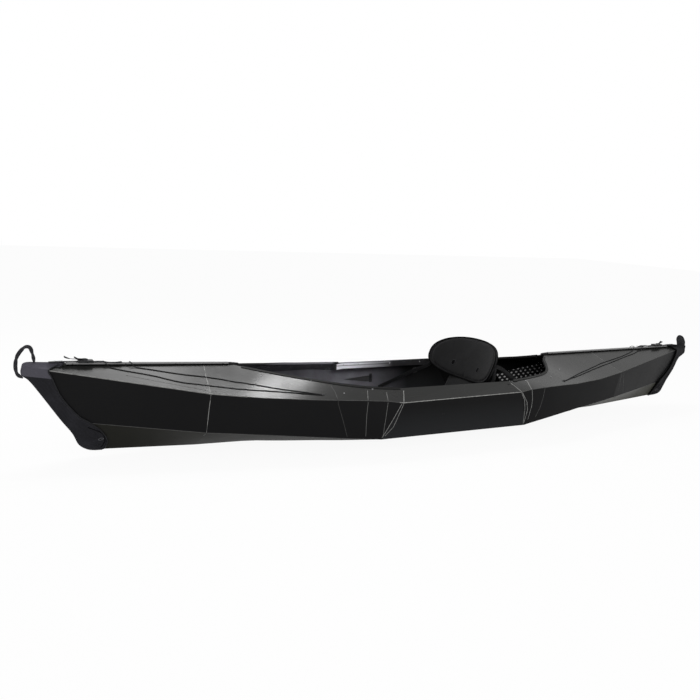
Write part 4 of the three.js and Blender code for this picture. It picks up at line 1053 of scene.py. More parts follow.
def cap_grid(end, side):
    """Rows of points over one side of a cap, from its centre line to its rear edge, on the frame's cap."""
    data = CAPS[end]
    tree = tree_of(data["node"])
    flap = Vector((data["flap"][0], 0, data["flap"][1]))
    wrinkle = settings().caps.wrinkle
    rows = []
    for c, r in zip(upright(data["centre"], CAP_ROWS), upright(data["rear"], CAP_ROWS)):
        row = []
        reach = (r - c).length
        last = math.inf
        for j in range(CAP_COLUMNS + 1):
            t = 1 - (1 - j / CAP_COLUMNS) ** 1.25
            p = c.lerp(r, t)
            probe = c.lerp(r, min(max(t, 0.02), 0.985))
            found = from_abeam(tree, side, probe.x, probe.z)
            place = found[0] if found else tree.find_nearest(Vector((probe.x, side * 0.05, probe.z)))[0]
            last = min(abs(place.y), last + 0.006)
            round_reach = min(reach * t / NOSE_ROUNDING, 1.0)
            out = last * math.sqrt(max(0.0, 1 - (1 - round_reach) ** 2))
            around = p - flap
            puff = PUFF * math.exp(-((around.length / PUFF_REACH) ** 2))
            gather = math.sin(math.atan2(around.z, around.x) * 9 + around.length * 60)
            puff += GATHER * gather * math.exp(-(((around.length - GATHER_RING) / GATHER_WIDTH) ** 2))
            soft = noise.noise(Vector((p.x * 22, side * 3.0, p.z * 22))) * 1.2
            soft += noise.noise(Vector((p.x * 60 + 5, side * 5.0, p.z * 30))) * 0.6
            out += (puff + wrinkle * soft) * min(1.0, 6 * t) * min(1.0, 6 * (1 - t))
            row.append(Vector((p.x, side * max(out, 0.0), p.z)))
        rows.append(row)
    return rows


def cap_cover(end, grids, look):
    """Joins the two sides of a cap along its middle and tucks its rear edge in against the hull."""
    hull = tree_of(*WHOLE_HULL)
    vertices, faces, index = [], [], {}
    for side, rows in grids.items():
        for i, row in enumerate(rows):
            edge = row[-1]
            inside = from_abeam(hull, side, edge.x, edge.z)
            tucked = edge.copy()
            tucked.y = side * max(abs(inside[0].y) - 0.001 if inside else abs(edge.y) - 0.003, 0.0)
            for j, point in enumerate([*row, tucked]):
                if j == 0 and side == 1:
                    index[side, i, j] = index[-1, i, 0]
                    continue
                index[side, i, j] = len(vertices)
                vertices.append(point)
    for side in (-1, 1):
        for i in range(CAP_ROWS - 1):
            for j in range(CAP_COLUMNS + 1):
                quad = [index[side, i + a, j + b] for a, b in ((0, 0), (1, 0), (1, 1), (0, 1))]
                faces.append(quad[::-side])
    piece = new_piece(f"{end}_cap_cover", (vertices, faces), look, "cap_cloth", closed=False)
    made = bmesh.new()
    made.from_mesh(piece.data)
    bmesh.ops.remove_doubles(made, verts=made.verts, dist=MERGE)
    bmesh.ops.holes_fill(made, edges=[e for e in made.edges if e.is_boundary], sides=0)
    bmesh.ops.recalc_face_normals(made, faces=made.faces)
    bmesh.ops.triangulate(made, faces=[f for f in made.faces if len(f.verts) > 4])
    made.to_mesh(piece.data)
    made.free()
    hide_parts(CAPS[end]["node"])
    return BVHTree.FromPolygons(*parts_of(piece.data))


def cap_stitches(grids, first=6, last=-8):
    """Two rows of stitches beside a cap's rear edge."""
    places = []
    for side, rows in grids.items():
        for column in (CAP_COLUMNS - 6, CAP_COLUMNS - 8):
            normals = []
            for k in range(first, len(rows) + last):
                down = rows[k + 1][column] - rows[k - 1][column]
                normal = down.cross(rows[k][column + 1] - rows[k][column - 1]).normalized()
                normals.append(normal if normal.y * side > 0 else -normal)
            line = [row[column] for row in rows[first:last]]
            places += stitch_places(line, normals, settings().webbing.pitch)
    return places


def build_cap(end):
    look, data = settings().caps, CAPS[end]
    # The stern's cloth is a darker copy of the bow's cloth: painted shade. The bow sets its own below.
    cloth, upper = shade(look.cloth, 0.6), None
    edge, radius = "piping", look.binding * 2
    if end == "bow":
        cloth, upper = look.cloth, (look.nose, data["upper"])
        edge, radius = "webbing", look.binding
    material = cloth_material(f"{end}_cap_cloth", cloth, shade(cloth, 2.2), 700.0, 0.78, 0.4, upper)
    grids = {side: cap_grid(end, side) for side in (-1, 1)}
    cover = cap_cover(end, grids, material)

    port, starboard = ([row[-1] + Vector((0, s * 0.0008, 0)) for row in grids[s][2:-2]] for s in (-1, 1))
    loop = smoothed(port + starboard[::-1], 260, closed=True)
    mesh = tube(loop, radius, 8, closed=True, up=Vector((0, 1, 0)))
    new_piece(f"{end}_cap_binding", mesh, edge, "cap_cloth", wrap=(cord_uv, 8, runs(loop)))
    size = (settings().webbing.stitch, 0.0009, 0.0009)
    repeated(f"{end}_cap_stitches", "stitches", cap_stitches(grids), size, "thread", "cap_cloth")

    slot_shade_plates, rims, shaded_fold_rolls = [], [], []
    for side in (-1, 1):
        place, normal = from_abeam(cover, side, *data["flap"])
        along, wide = axes_on(normal, Vector((0.94, 0, 0.34)))
        slot_shade_plates.append(rounded_plate(place, along, wide, normal, 0.0085, 0.0026, 0.0008))
        rims.append(oval_rim(place, along, wide, normal, (0.0098, 0.0040), 0.0006, 0.0013, 28))
        if "roll" in data:
            roll = [from_abeam(cover, side, p.x, p.z) for p in upright(data["roll"], 40)]
            shaded_fold_rolls.append(tube([found[0] for found in roll if found], 0.0017, 8))
    # The rolled edge is a black tube on the cloth: painted shade along the fold.
    if shaded_fold_rolls:
        new_piece(f"{end}_cap_roll_painted_shade", join_meshes(shaded_fold_rolls), "piping", "cap_cloth")
    # Each slot is a black plate laid on the cloth: painted shade where the opening is.
    new_piece(f"{end}_cap_slot", join_meshes(slot_shade_plates), "piping", "cap_cloth")
    # The slot's raised rim is drawn pale, a painted highlight.
    new_piece(f"{end}_cap_slot_rim", join_meshes(rims), "rim", "cap_cloth")


# Webbing: handles and straps

# A folded handle's section, across and up as shares of its halves, with a groove along one face.
HANDLE_SECTION = (
    *((-1, -0.35), (-0.92, -0.9), (-0.5, -1), (0.5, -1), (0.92, -0.9), (1, -0.35), (1, 0.35)),
    *((0.92, 0.9), (0.5, 1), (0, 0.86), (-0.5, 1), (-0.92, 0.9), (-1, 0.35)),
)
HANDLE_STEPS = 56
# Each handle's line along and up, the turns of its webbing in degrees, its width and its look.
HANDLES = {
    "bow": {
        "points": [
            (-1.8398, 0.3362), (-1.8593, 0.354), (-1.8648, 0.386), (-1.8575, 0.424), (-1.8326, 0.456),
            (-1.8124, 0.456), (-1.8032, 0.432), (-1.7985, 0.409), (-1.7965, 0.3972),
        ],
        "turns": (15, 80, 35, 85, 95, 30, 70, 100, 25, 60, 90, 30, 75, 20),
        "width": 0.015,
        "look": "grip",
    },
    "stern": {
        "points": [
            (1.7985, 0.347), (1.786, 0.37), (1.779, 0.388), (1.789, 0.3945), (1.811, 0.386),
            (1.8265, 0.366), (1.8315, 0.344),
        ],
        "turns": (50, 75, 90, 90, 86, 94, 90, 88, 80),
        "width": 0.029,
        "look": "webbing",
    },
}


def turned(along, turn):
    """The directions across and off webbing that is turned about its own line."""
    wide = Matrix.Rotation(turn, 3, along) @ Vector((0, 1, 0))
    return wide, wide.cross(along).normalized()


def build_handle(end, thick=0.0036):
    data = HANDLES[end]
    points = upright(data["points"], HANDLE_STEPS)
    given = data["turns"]
    turns = np.interp(np.linspace(0, 1, HANDLE_STEPS), np.linspace(0, 1, len(given)), given)
    body = f"{end}_handle"
    rings, places = [], []
    for point, along, turn in zip(points, tangents(points), np.radians(turns)):
        wide, up = turned(along, turn)
        half, off = data["width"] / 2, thick / 2
        rings.append([point + wide * (a * half) + up * (b * off) for a, b in HANDLE_SECTION])
        for sign in (-1, 1):
            places.append((point + up * sign * 0.0018 + wide * sign * 0.0056, along, up * sign))
    wrap = (strip_uv, len(HANDLE_SECTION), runs(points))
    piece = new_piece(f"{end}_handle_webbing", ring_mesh(rings), data["look"], "webbing", body, wrap=wrap)
    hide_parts(f"{end}_handle")
    size = (settings().webbing.stitch, 0.0009, 0.0008)
    # The feet stay bare, because stitches there would cut into the cap when the handle swings.
    repeated(f"{end}_handle_stitches", "stitches", places[20:-20], size, "thread", "webbing", body)


RIDGES = {"bow": ((-1.795, 0.3846), (-1.010, 0.3545)), "stern": ((0.7746, 0.3310), (1.790, 0.3410))}


def ridge_height(end, x):
    (x0, z0), (x1, z1) = RIDGES[end]
    return z0 + (z1 - z0) * (x - x0) / (x1 - x0)


STRAP_WIDTH = 0.020
# Where each strap runs above the ridge: places along and how far it stands off the channel.
STRAPS = {
    "bow": {
        "strap": [
            (-1.744, 0.0138), (-1.715, 0.0145), (-1.69, 0.0156), (-1.674, 0.0162), (-1.655, 0.0164),
            (-1.64, 0.0163), (-1.626, 0.0162), (-1.61, 0.0158),
        ],
        "tail": [
            (-1.5765, 0.015), (-1.566, 0.0155), (-1.548, 0.0156), (-1.534, 0.0153), (-1.517, 0.0126),
            (-1.5, 0.0116), (-1.478, 0.0118), (-1.463, 0.0138),
        ],
        "ends": (
            [(-1.604, 0.0222), (-1.64, 0.0232), (-1.664, 0.0256), (-1.679, 0.0298), (-1.6875, 0.0338)],
            [(-1.596, 0.0228), (-1.618, 0.0244), (-1.638, 0.0272), (-1.649, 0.0312)],
        ),
    },
    "stern": {
        "strap": [
            (1.742, 0.0134), (1.715, 0.013), (1.694, 0.0128), (1.676, 0.0118), (1.655, 0.0117),
            (1.642, 0.013), (1.626, 0.0158), (1.61, 0.0158),
        ],
        "tail": [
            (1.5765, 0.0142), (1.56, 0.0126), (1.542, 0.0126), (1.527, 0.015), (1.512, 0.0156),
            (1.494, 0.0153), (1.48, 0.0132), (1.466, 0.012), (1.452, 0.0138),
        ],
        "ends": ([(1.604, 0.0222), (1.62, 0.0246), (1.633, 0.03), (1.6425, 0.0365)],),
    },
}
# Stitch lines as shares along the strap and across its half: a box with a cross, and two bars.
BOX = ((0.12, 0.40, -0.7, -0.7), (0.12, 0.40, 0.7, 0.7), (0.12, 0.40, -0.7, 0.7), (0.12, 0.40, 0.7, -0.7))
BARS = ((0.90, 0.90, -0.8, 0.8), (0.94, 0.94, -0.8, 0.8))


def strap_ribbon(end, corners, width, roll, steps=40):
    """A strap over the ridge through places along and heights above it, rolling a little sideways."""
    points = upright([(x, ridge_height(end, x) + rise) for x, rise in corners], steps)
    across = []
    for k in range(len(points)):
        turn = roll * math.sin(k * 0.21)
        across.append(Vector((0, math.cos(turn), math.sin(turn))))
    return points, across, ribbon(points, across, width, 0.0019)


def build_straps(end):
    for key, body, node, seams in (
        ("strap", HULL, f"{end}_strap", BOX),
        ("tail", f"{end}_tongue", f"{end}_strap_tail", BARS),
    ):
        points, across, mesh = strap_ribbon(end, STRAPS[end][key], STRAP_WIDTH, 0.05)
        name = f"{end}_{key}_webbing"
        piece = new_piece(name, mesh, "webbing", "webbing", body, wrap=(strip_uv, 8, runs(points)))
        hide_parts(node)
        places = []
        for start, stop, left, right in seams:
            line = []
            for k in range(12):
                t = k / 11
                at = (start + (stop - start) * t) * (len(points) - 1)
                low = min(int(at), len(points) - 2)
                out = across[low] * (left + (right - left) * t) * STRAP_WIDTH / 2
                line.append(points[low].lerp(points[low + 1], at - low) + out + Vector((0, 0, 0.0021)))
            places += stitch_places(line, [UP] * len(line), 0.0048, 0.3)
        repeated(name + "_stitches", "stitches", places, (0.0034, 0.0008, 0.0008), "thread", "webbing", body)
    parts, along = [], []
    for corners in STRAPS[end]["ends"]:
        points, _, mesh = strap_ribbon(end, corners, STRAP_WIDTH * 0.85, 0.22)
        parts.append(mesh)
        along += runs(points)
    wrap = (strip_uv, 8, along)
    new_piece(f"{end}_strap_loose_ends", join_meshes(parts), "webbing", "webbing", wrap=wrap)


# How far from the middle of the boat each buckle's mouth lies.
BUCKLE_MOUTH = 1.5898


def build_buckle_details(end):
    """Side latches on the tongue and the strap bars in the buckle."""
    inward = 1 if end == "bow" else -1
    mouth = -inward * BUCKLE_MOUTH
    latches, ribs = [], []
    for side in (-1, 1):
        rings = []
        for back, half in ((0.020, 0.0010), (0.012, 0.0022), (0.003, 0.0012)):
            x = mouth - inward * back
            z, y = ridge_height(end, x) + 0.0165, side * 0.0155
            edge = y + side * half
            corners = ((y - 0.0006, -0.0032), (edge, -0.0028), (edge, 0.0028), (y - 0.0006, 0.0032))
            rings.append([Vector((x, a, z + b)) for a, b in corners])
        latches.append(ring_mesh(rings))
    for k in range(4):
        x = mouth - inward * (0.026 + 0.0045 * k)
        z = ridge_height(end, x) + 0.0215
        bar = [Vector((x, y, z + rise)) for y, rise in ((-0.011, 0), (0, 0.0002), (0.011, 0))]
        ribs.append(tube(bar, 0.0008, 8))
    new_piece(f"{end}_buckle_latches", join_meshes(latches), "moulding", "buckle_plastic", f"{end}_tongue")
    new_piece(f"{end}_buckle_ribs", join_meshes(ribs), "moulding", "buckle_plastic")


# Deck cords

# Half of each closed route, from the port anchor over the ridge: places along and out, the outer run and then
# the inner run.
CORDS = {
    "front": {
        "node": "front_bungee",
        "outer": [
            (-0.6928, 0.2842), (-0.8611, 0.2301), (-0.9954, 0.1917), (-1.1253, 0.1528), (-1.2545, 0.1206),
            (-1.3467, 0.0798), (-1.4396, 0.0485), (-1.48, 0.035), (-1.519, 0.02), (-1.5401, 0),
        ],
        "inner": [
            (-0.8543, 0.2135), (-0.9811, 0.1508), (-1.1084, 0.0994), (-1.2405, 0.0692), (-1.34, 0.0405),
            (-1.385, 0.029), (-1.419, 0.019), (-1.432, 0),
        ],
        "anchor": (-0.69, 0.2842),
    },
    "rear": {
        "node": "rear_bungee",
        "outer": [
            (0.6596, 0.2849), (0.7353, 0.2525), (0.9248, 0.1803), (1.048, 0.1399), (1.1696, 0.1046),
            (1.2962, 0.0677), (1.3579, 0.052), (1.429, 0.028), (1.47, 0.016), (1.4996, 0),
        ],
        "inner": [
            (0.6828, 0.2737), (0.816, 0.2081), (0.9432, 0.1601), (1.0715, 0.1147), (1.2495, 0.0686),
            (1.3147, 0.0488), (1.37, 0.03), (1.4, 0.018), (1.4205, 0),
        ],
        "anchor": (0.656, 0.2849),
    },
}


def closed_route(outer, inner):
    route = [(x, -y) for x, y in outer] + list(reversed(outer[:-1]))
    return route + inner[:-1] + [(x, -y) for x, y in reversed(inner)]


def cord_line(node, route, radius):
    """The cord's middle: on the deck for most of its way, and as high as the frame's cord over the ridge."""
    plan = smoothed([(x, y, 0) for x, y in route], 900, closed=True)
    tree = tree_of(node)
    low, high = [], []
    for p in plan:
        place, normal = on_top(WHOLE_HULL, p.x, p.y) or on_top(WHOLE_HULL, p.x, p.y + 0.0008)
        lie = place.z + radius / max(normal.z, 0.5) + 0.0003
        top = on_top([node], p.x, p.y)
        cad = top[0].z - 0.0022 if top else tree.find_nearest(Vector((p.x, p.y, lie + 0.004)))[0].z
        lift = cad - lie
        share = min(max((lift - 0.003) / 0.005, 0.0), 1.0) * min(max((0.020 - abs(p.y)) / 0.008, 0.0), 1.0)
        low.append(lie)
        high.append(lie + max(lift, 0.0) * share * share * (3 - 2 * share))
    low, high = np.array(low), np.array(high)
    for _ in range(3):
        high = np.maximum((np.roll(high, 1) + 2 * high + np.roll(high, -1)) / 4, low)
    return [Vector((p.x, p.y, z)) for p, z in zip(plan, high)]


# The bridge of an anchor over its cord: places across and up.
BRIDGE = ((-0.0046, 0.0002), (-0.0040, 0.0040), (0, 0.0052), (0.0040, 0.0040), (0.0046, 0.0002))


def build_cord(end):
    data = CORDS[end]
    radius = settings().fittings.cord_radius
    line = cord_line(data["node"], closed_route(data["outer"], data["inner"]), radius)
    wrap = (cord_uv, 10, runs(line))
    piece = new_piece(f"{end}_deck_cord", tube(line, radius, closed=True), "cord", "cord_cloth", wrap=wrap)
    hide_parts(data["node"])
    x, y = data["anchor"]
    inward = 1 if end == "front" else -1
    rivets, anchors = [], []
    for side in (-1, 1):
        place, normal = on_top(WHOLE_HULL, x + inward * 0.006, side * y)
        along, wide = axes_on(normal, ASTERN * inward)
        anchors.append(rounded_plate(place, along, wide, normal, 0.010, 0.0045, 0.0016))
        bridge = [place - along * 0.006 + wide * w + normal * h for w, h in BRIDGE]
        anchors.append(tube(smoothed(bridge, 16), 0.0012, 8, up=along))
        rivets.append((place + along * 0.003 + normal * 0.0016, along, normal))
    new_piece(f"{end}_cord_anchors", join_meshes(anchors), "moulding", "trim_plastic")
    size = (0.0050, 0.0050, 0.0016)
    repeated(f"{end}_anchor_rivets", "rivets", rivets, size, "moulding", "bar_metal")


# Rim: rivets, bar sleeves and caps, channel plugs and painted shadow strips, wall tabs

BAR_RIVETS = (-0.292, -0.205, -0.02, 0.165, 0.252)
BAR_RIVET_HEIGHT = 0.262
# Places along and out from the middle.
DECK_RIVETS = [
    (-0.9, 0.115), (-0.7008, 0.1947), (-0.5886, 0.2948), (-0.545, 0.262), (-0.452, 0.297), (0.402, 0.292),
    (0.6, 0.246), (0.73, 0.16),
]
# Each channel's ridge, the ends of its row of dimples, the place of its plug and the plug's way.
CHANNELS = {"front": ("bow", -1.655, -1.035, -1.0098, 1), "rear": ("stern", 0.81, 1.655, 0.7848, -1)}
SLEEVE_REACH = 0.033


def corners_at(x, ys, zs):
    """The corners of an upright rectangle across the boat."""
    return [Vector((x, ys[a], zs[b])) for a, b in ((0, 0), (1, 0), (1, 1), (0, 1))]


def build_rim():
    """Sleeves and end caps on the rim bars, and the rivets of bars, decks and channels."""
    bars = tree_of("rim_bar_port", "rim_bar_starboard")
    caps, sleeves, places = [], [], []
    for word, side in SIDES.items():
        for x in BAR_RIVETS:
            place, normal = from_amidships(bars, side, x, BAR_RIVET_HEIGHT)
            places.append((place + normal * 0.0008, ASTERN, normal))
        low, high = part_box(f"rim_bar_{word}")
        tip, crest = low[0] - SLEEVE_REACH, high[2]
        rings = []
        for x, drop, inboard in ((low[0] + 0.0005, 0.0, 0.0), (tip, 0.0040, 0.0028)):
            inner, outer = side * (0.2953 - inboard), side * (0.3020 - inboard)
            bottom, top = crest - 0.0282 - drop, crest - drop
            outline = ((inner, bottom), (outer, bottom + 0.0005), (outer, top - 0.0014), (inner, top))
            rings.append([Vector((x, y, z)) for y, z in outline])
        sleeves.append(ring_mesh(rings))
        rings = []
        for reach, inset in ((-0.0004, -0.0004), (0.010, 0.0), (0.0145, 0.002), (0.0160, 0.004)):
            ys = side * (0.2925 + inset), side * (0.2992 - inset * 0.5)
            rings.append(corners_at(tip - reach, ys, (crest - 0.0322 + inset, crest - 0.0040 - inset)))
        caps.append(ring_mesh(rings))
        rings = []
        for reach, inset in ((-0.0004, 0.0), (0.010, 0.0), (0.0145, 0.002), (0.0160, 0.005)):
            zs = (low[2] + 0.001 + inset, low[2] + 0.0235 - inset)
            rings.append(corners_at(high[0] + reach, (low[1] + inset, high[1] - inset), zs))
        caps.append(ring_mesh(rings))
    new_piece("rim_bar_sleeves", join_meshes(sleeves), "bar", "bar_metal", smooth=False)
    new_piece("rim_bar_end_caps", join_meshes(caps), "moulding", "trim_plastic", smooth=False)
    repeated("rim_bar_rivets", "rivets", places, (0.008, 0.008, 0.0022), "rivet", "bar_metal")
    places = []
    for word in SIDES:
        for x, y in DECK_RIVETS:
            found = on_deck(word, x, y)
            if found and abs(found[1].z) > 0.5:
                places.append((found[0] + found[1] * 0.0006, ASTERN, found[1]))
    repeated("deck_rivets", "rivets", places, (0.0062, 0.0062, 0.0018), "rivet", "bar_metal")
    for end, (which, x0, x1, _, _) in CHANNELS.items():
        places = []
        for x in np.linspace(x0, x1, 4):
            for side in (-1, 1):
                place = Vector((x, side * 0.0066, ridge_height(which, x) + 0.0062))
                places.append((place, ASTERN, Vector((0, side, 0))))
        size, slot = (0.0036, 0.0036, 0.0010), "channel_plastic"
        repeated(f"{end}_channel_dimples", "rivets", places, size, "moulding", slot, f"{end}_channel")


# The plug's taper, as reach, half width and height, its section as shares, and the section of the black strip
# along the channel's foot, which is a painted shadow.
PLUG_TAPER = (
    *((0.0, 0.0052, 0.0104), (0.010, 0.0052, 0.0104), (0.030, 0.0046, 0.0090)),
    *((0.044, 0.0036, 0.0074), (0.047, 0.0024, 0.0062)),
)
PLUG_SECTION = (
    *((-1, 0.12), (-0.8, 0.0), (0.8, 0.0), (1, 0.12)),
    *((1, 0.8), (0.75, 1.0), (-0.75, 1.0), (-1, 0.8)),
)
SHADOW_STRIP_SECTION = ((0.0064, 0.0006), (0.0080, 0.0004), (0.0079, 0.0040), (0.0064, 0.0046))


def build_channel_plugs():
    """The tapered plug in the cockpit end of each ridge channel, and the black strips along its foot, which
    paint the shadow of its gap at the deck.
    """
    for end, (which, _, _, start, way) in CHANNELS.items():
        ride = ("channel_plastic", f"{end}_channel")
        rings = []
        for reach, half, top in PLUG_TAPER:
            x = start + way * reach
            rings.append([Vector((x, y * half, ridge_height(which, x) + z * top)) for y, z in PLUG_SECTION])
        new_piece(f"{end}_channel_plug", ring_mesh(rings), "moulding", *ride)
        low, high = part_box(f"{end}_channel")
        shadow_strips = []
        for side in (-1, 1):
            rings = []
            for x in np.linspace(low[0] + 0.001, high[0] - 0.001, 12):
                base = ridge_height(which, x)
                rings.append([Vector((x, side * y, base + z)) for y, z in SHADOW_STRIP_SECTION])
            # Painted shadow: a black strip along each side of the channel's foot.
            shadow_strips.append(ring_mesh(rings))
        new_piece(f"{end}_channel_shadow_strips", join_meshes(shadow_strips), "piping", *ride, smooth=False)


STIFFENER = ((-0.262, 0.1765), (-0.110, 0.1890), (-0.100, 0.1890), (-0.100, 0.1600), (-0.132, 0.1600))
# The tab's place along, its foot and its head.
TAB = (-0.104, 0.152, 0.199)


def build_wall_tabs():
    """The wedge-shaped stiffener on the inside of each side, with the tab that holds it."""
    for word, side in SIDES.items():
        tree = tree_of(f"mid_side_{word}")
        walls = [from_amidships(tree, side, x, z)[0] for x, z in STIFFENER]
        rings = [[Vector((p.x, p.y - side * off, p.z)) for p in walls] for off in (0.006, 0.0005)]
        new_piece(f"side_stiffener_{word}", ring_mesh(rings), "board", "board_sheet", smooth=False)
        x, foot, head = TAB
        y = from_amidships(tree, side, x, 0.175)[0].y - side * 0.0090
        sunk = side * 0.006
        offs = (sunk, 0.0, 0.0, 0.0, sunk)
        points = [Vector((x, y + off, z)) for off, z in zip(offs, np.linspace(foot, head, 5))]
        mesh = ribbon(points, [ASTERN] * len(points), 0.016, 0.0018)
        new_piece(f"side_tab_{word}", mesh, "webbing", "webbing", wrap=(strip_uv, 8, runs(points)))


# Seat

BACK = {"half_width": 0.271, "half_height": 0.108, "x": 0.291, "z": 0.322, "wrap": 0.076, "power": 2.5}
LEAN = math.radians(23.5)
AHEAD = Vector((-math.cos(LEAN), 0, math.sin(LEAN)))


def back_curl(y):
    return BACK["wrap"] * (y / BACK["half_width"]) ** 2


def back_place(u, v, depth):
    """A point of the seat back from its places across and up and how far it stands ahead of the middle."""
    x = BACK["x"] + v * math.sin(LEAN) - back_curl(u) - depth * math.cos(LEAN)
    z = BACK["z"] + v * math.cos(LEAN) + depth * math.sin(LEAN)
    return Vector((x, u, z))


def back_height(p):
    """How far up the seat back's face a point lies."""
    return (p.x - BACK["x"] + back_curl(p.y)) * math.sin(LEAN) + (p.z - BACK["z"]) * math.cos(LEAN)


def back_share(p):
    """How near a point lies to the seat back's outline, which is 1."""
    power = BACK["power"]
    across, up = abs(p.y / BACK["half_width"]), abs(back_height(p) / BACK["half_height"])
    return (across**power + up**power) ** (1 / power)


def back_outline(share, depth):
    places = oval(140, BACK["power"], BACK["half_width"], BACK["half_height"])
    return [back_place(u * share, v * share, depth) for u, v in places]


def cushion(name, place, halves, power, edge, crown, back, sides=120, rings=16):
    """A closed cushion between two faces that rise from a flat edge towards the middle."""
    vertices, faces, rims = [], [], []
    outline = oval(sides, power, *halves)
    for sign, rise in ((1, crown), (-1, back)):
        first = len(vertices)
        vertices.append(place(0, 0, sign * (edge / 2 + rise)))
        for i in range(1, rings + 1):
            share = 1 - (1 - i / rings) ** 1.7
            depth = sign * (edge / 2 + rise * (1 - share * share) ** 0.6)
            vertices += [place(u * share, v * share, depth) for u, v in outline]
        rows = [[first + 1 + i * sides + k for k in range(sides)] for i in range(rings)]
        for k in range(sides):
            n = (k + 1) % sides
            faces.append((first, rows[0][k], rows[0][n]))
            faces += [(a[k], b[k], b[n], a[n]) for a, b in zip(rows, rows[1:])]
        rims.append(rows[-1])
    for k in range(sides):
        n = (k + 1) % sides
        faces.append((rims[0][k], rims[1][k], rims[1][n], rims[0][n]))
    return new_piece(name, (vertices, faces), "seat", "seat_cloth", body=None)


def swell(piece, pressure):
    """The cushion's points after a short simulation of its cloth under pressure."""
    cloth = piece.modifiers.new("cloth", "CLOTH")
    cloth.settings.quality = 6
    cloth.settings.use_pressure = True
    cloth.settings.uniform_pressure_force = pressure
    cloth.settings.tension_stiffness = 25
    cloth.settings.compression_stiffness = 15
    cloth.settings.bending_stiffness = 1.0
    cloth.settings.mass = 0.3
    cloth.settings.effector_weights.gravity = 0
    cloth.point_cache.frame_start = 1
    cloth.point_cache.frame_end = last = settings().seat.frames
    for step in range(1, last + 1):
        bpy.context.scene.frame_set(step)
    done = baked(piece)
    points = [v.co.copy() for v in done.vertices]
    bpy.data.meshes.remove(done)
    bpy.context.scene.frame_set(1)
    return points


def inflate(piece, voxel, pressure, most, hold):
    """Remeshes a cushion, lets cloth under pressure swell it, and keeps each point within its reach."""
    remesh = piece.modifiers.new("remesh", "REMESH")
    remesh.mode = "VOXEL"
    remesh.voxel_size = voxel
    made = baked(piece)
    piece.data = made
    paint(made, "seat")
    for vertex, swollen in zip(made.vertices, swell(piece, pressure)):
        move = (swollen - vertex.co) * hold(vertex.co)
        if move.length > most:
            move *= most / move.length
        vertex.co += move
    settled = bmesh.new()
    settled.from_mesh(made)
    every_way = {f"use_axis_{axis}": True for axis in "xyz"}
    for _ in range(3):
        bmesh.ops.smooth_vert(settled, verts=settled.verts, factor=0.4, **every_way)
    bmesh.ops.recalc_face_normals(settled, faces=settled.faces)
    settled.to_mesh(made)
    settled.free()
    finer = piece.modifiers.new("finer", "SUBSURF")
    finer.levels = finer.render_levels = 1
    piece.data = fine = baked(piece)
    paint(fine, "seat")
    fine.polygons.foreach_set("use_smooth", [True] * len(fine.polygons))


PAD = {"half_length": 0.165, "half_width": 0.180, "middle": 0.0214, "flat": 0.1008, "slope": 0.187}
QUILT_LINES = (-0.085, 0.0, 0.085)
QUILT_DEPTH, QUILT_WIDTH, QUILT_END = 0.0045, 0.006, 0.172
SEAT_STITCH = (0.0042, 0.0010, 0.0009)


def pad_place(u, v, depth):
    rise = max(abs(u) - PAD["flat"], 0.0) * PAD["slope"]
    return Vector((v, u, PAD["middle"] + depth + rise))


def pad_height(p):
    return p.z - pad_place(p.y, 0, 0).z


def build_seat_pad():
    halves = PAD["half_width"] - 0.001, PAD["half_length"] - 0.001
    piece = cushion("seat_pad_cushion", pad_place, halves, 5, 0.012, 0.010, 0.003)
    inflate(piece, 0.005, 4.0, 0.006, lambda p: 1.0 if pad_height(p) > -0.002 else 0.12)
    for vertex in piece.data.vertices:
        x, y, _ = vertex.co
        if pad_height(vertex.co) > 0.004 and abs(y) < QUILT_END:
            away = min(abs(x - line) for line in QUILT_LINES)
            dip = QUILT_DEPTH * math.exp(-((away / QUILT_WIDTH) ** 2))
            vertex.co.z -= dip * min(1.0, (QUILT_END - abs(y)) / 0.02)
    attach(piece, HULL)
    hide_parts("seat_pad")
    places = []
    top = BVHTree.FromPolygons(*parts_of(piece.data))
    for x in QUILT_LINES:
        found = [hit(top, (x, -0.160 + 0.320 * k / 59, 0.2), (0, 0, -1)) for k in range(60)]
        line = [f[0] + Vector((0, 0, 0.0003)) for f in found if f]
        places += stitch_places(line, [f[1] for f in found if f], settings().webbing.pitch)
    repeated("seat_pad_stitches", "stitches", places, SEAT_STITCH, "thread", "seat_cloth")
    outline = oval(160, 5, PAD["half_width"] - 0.0015, PAD["half_length"] - 0.0015)
    line = smoothed([pad_place(u, v, 0.004) for u, v in outline], 300, closed=True)
    new_piece("seat_pad_piping", tube(line, 0.0022, 8, closed=True), "piping", "seat_cloth")


# The seam inside the seat back's outline: its share of the way out, its depth and its width as a share.
SEAM_SHARE, SEAM_DEPTH, SEAM_WIDTH = 0.925, 0.0022, 0.012
# How far ahead of the face the places on it are looked for from.
OFF_FACE = 0.06


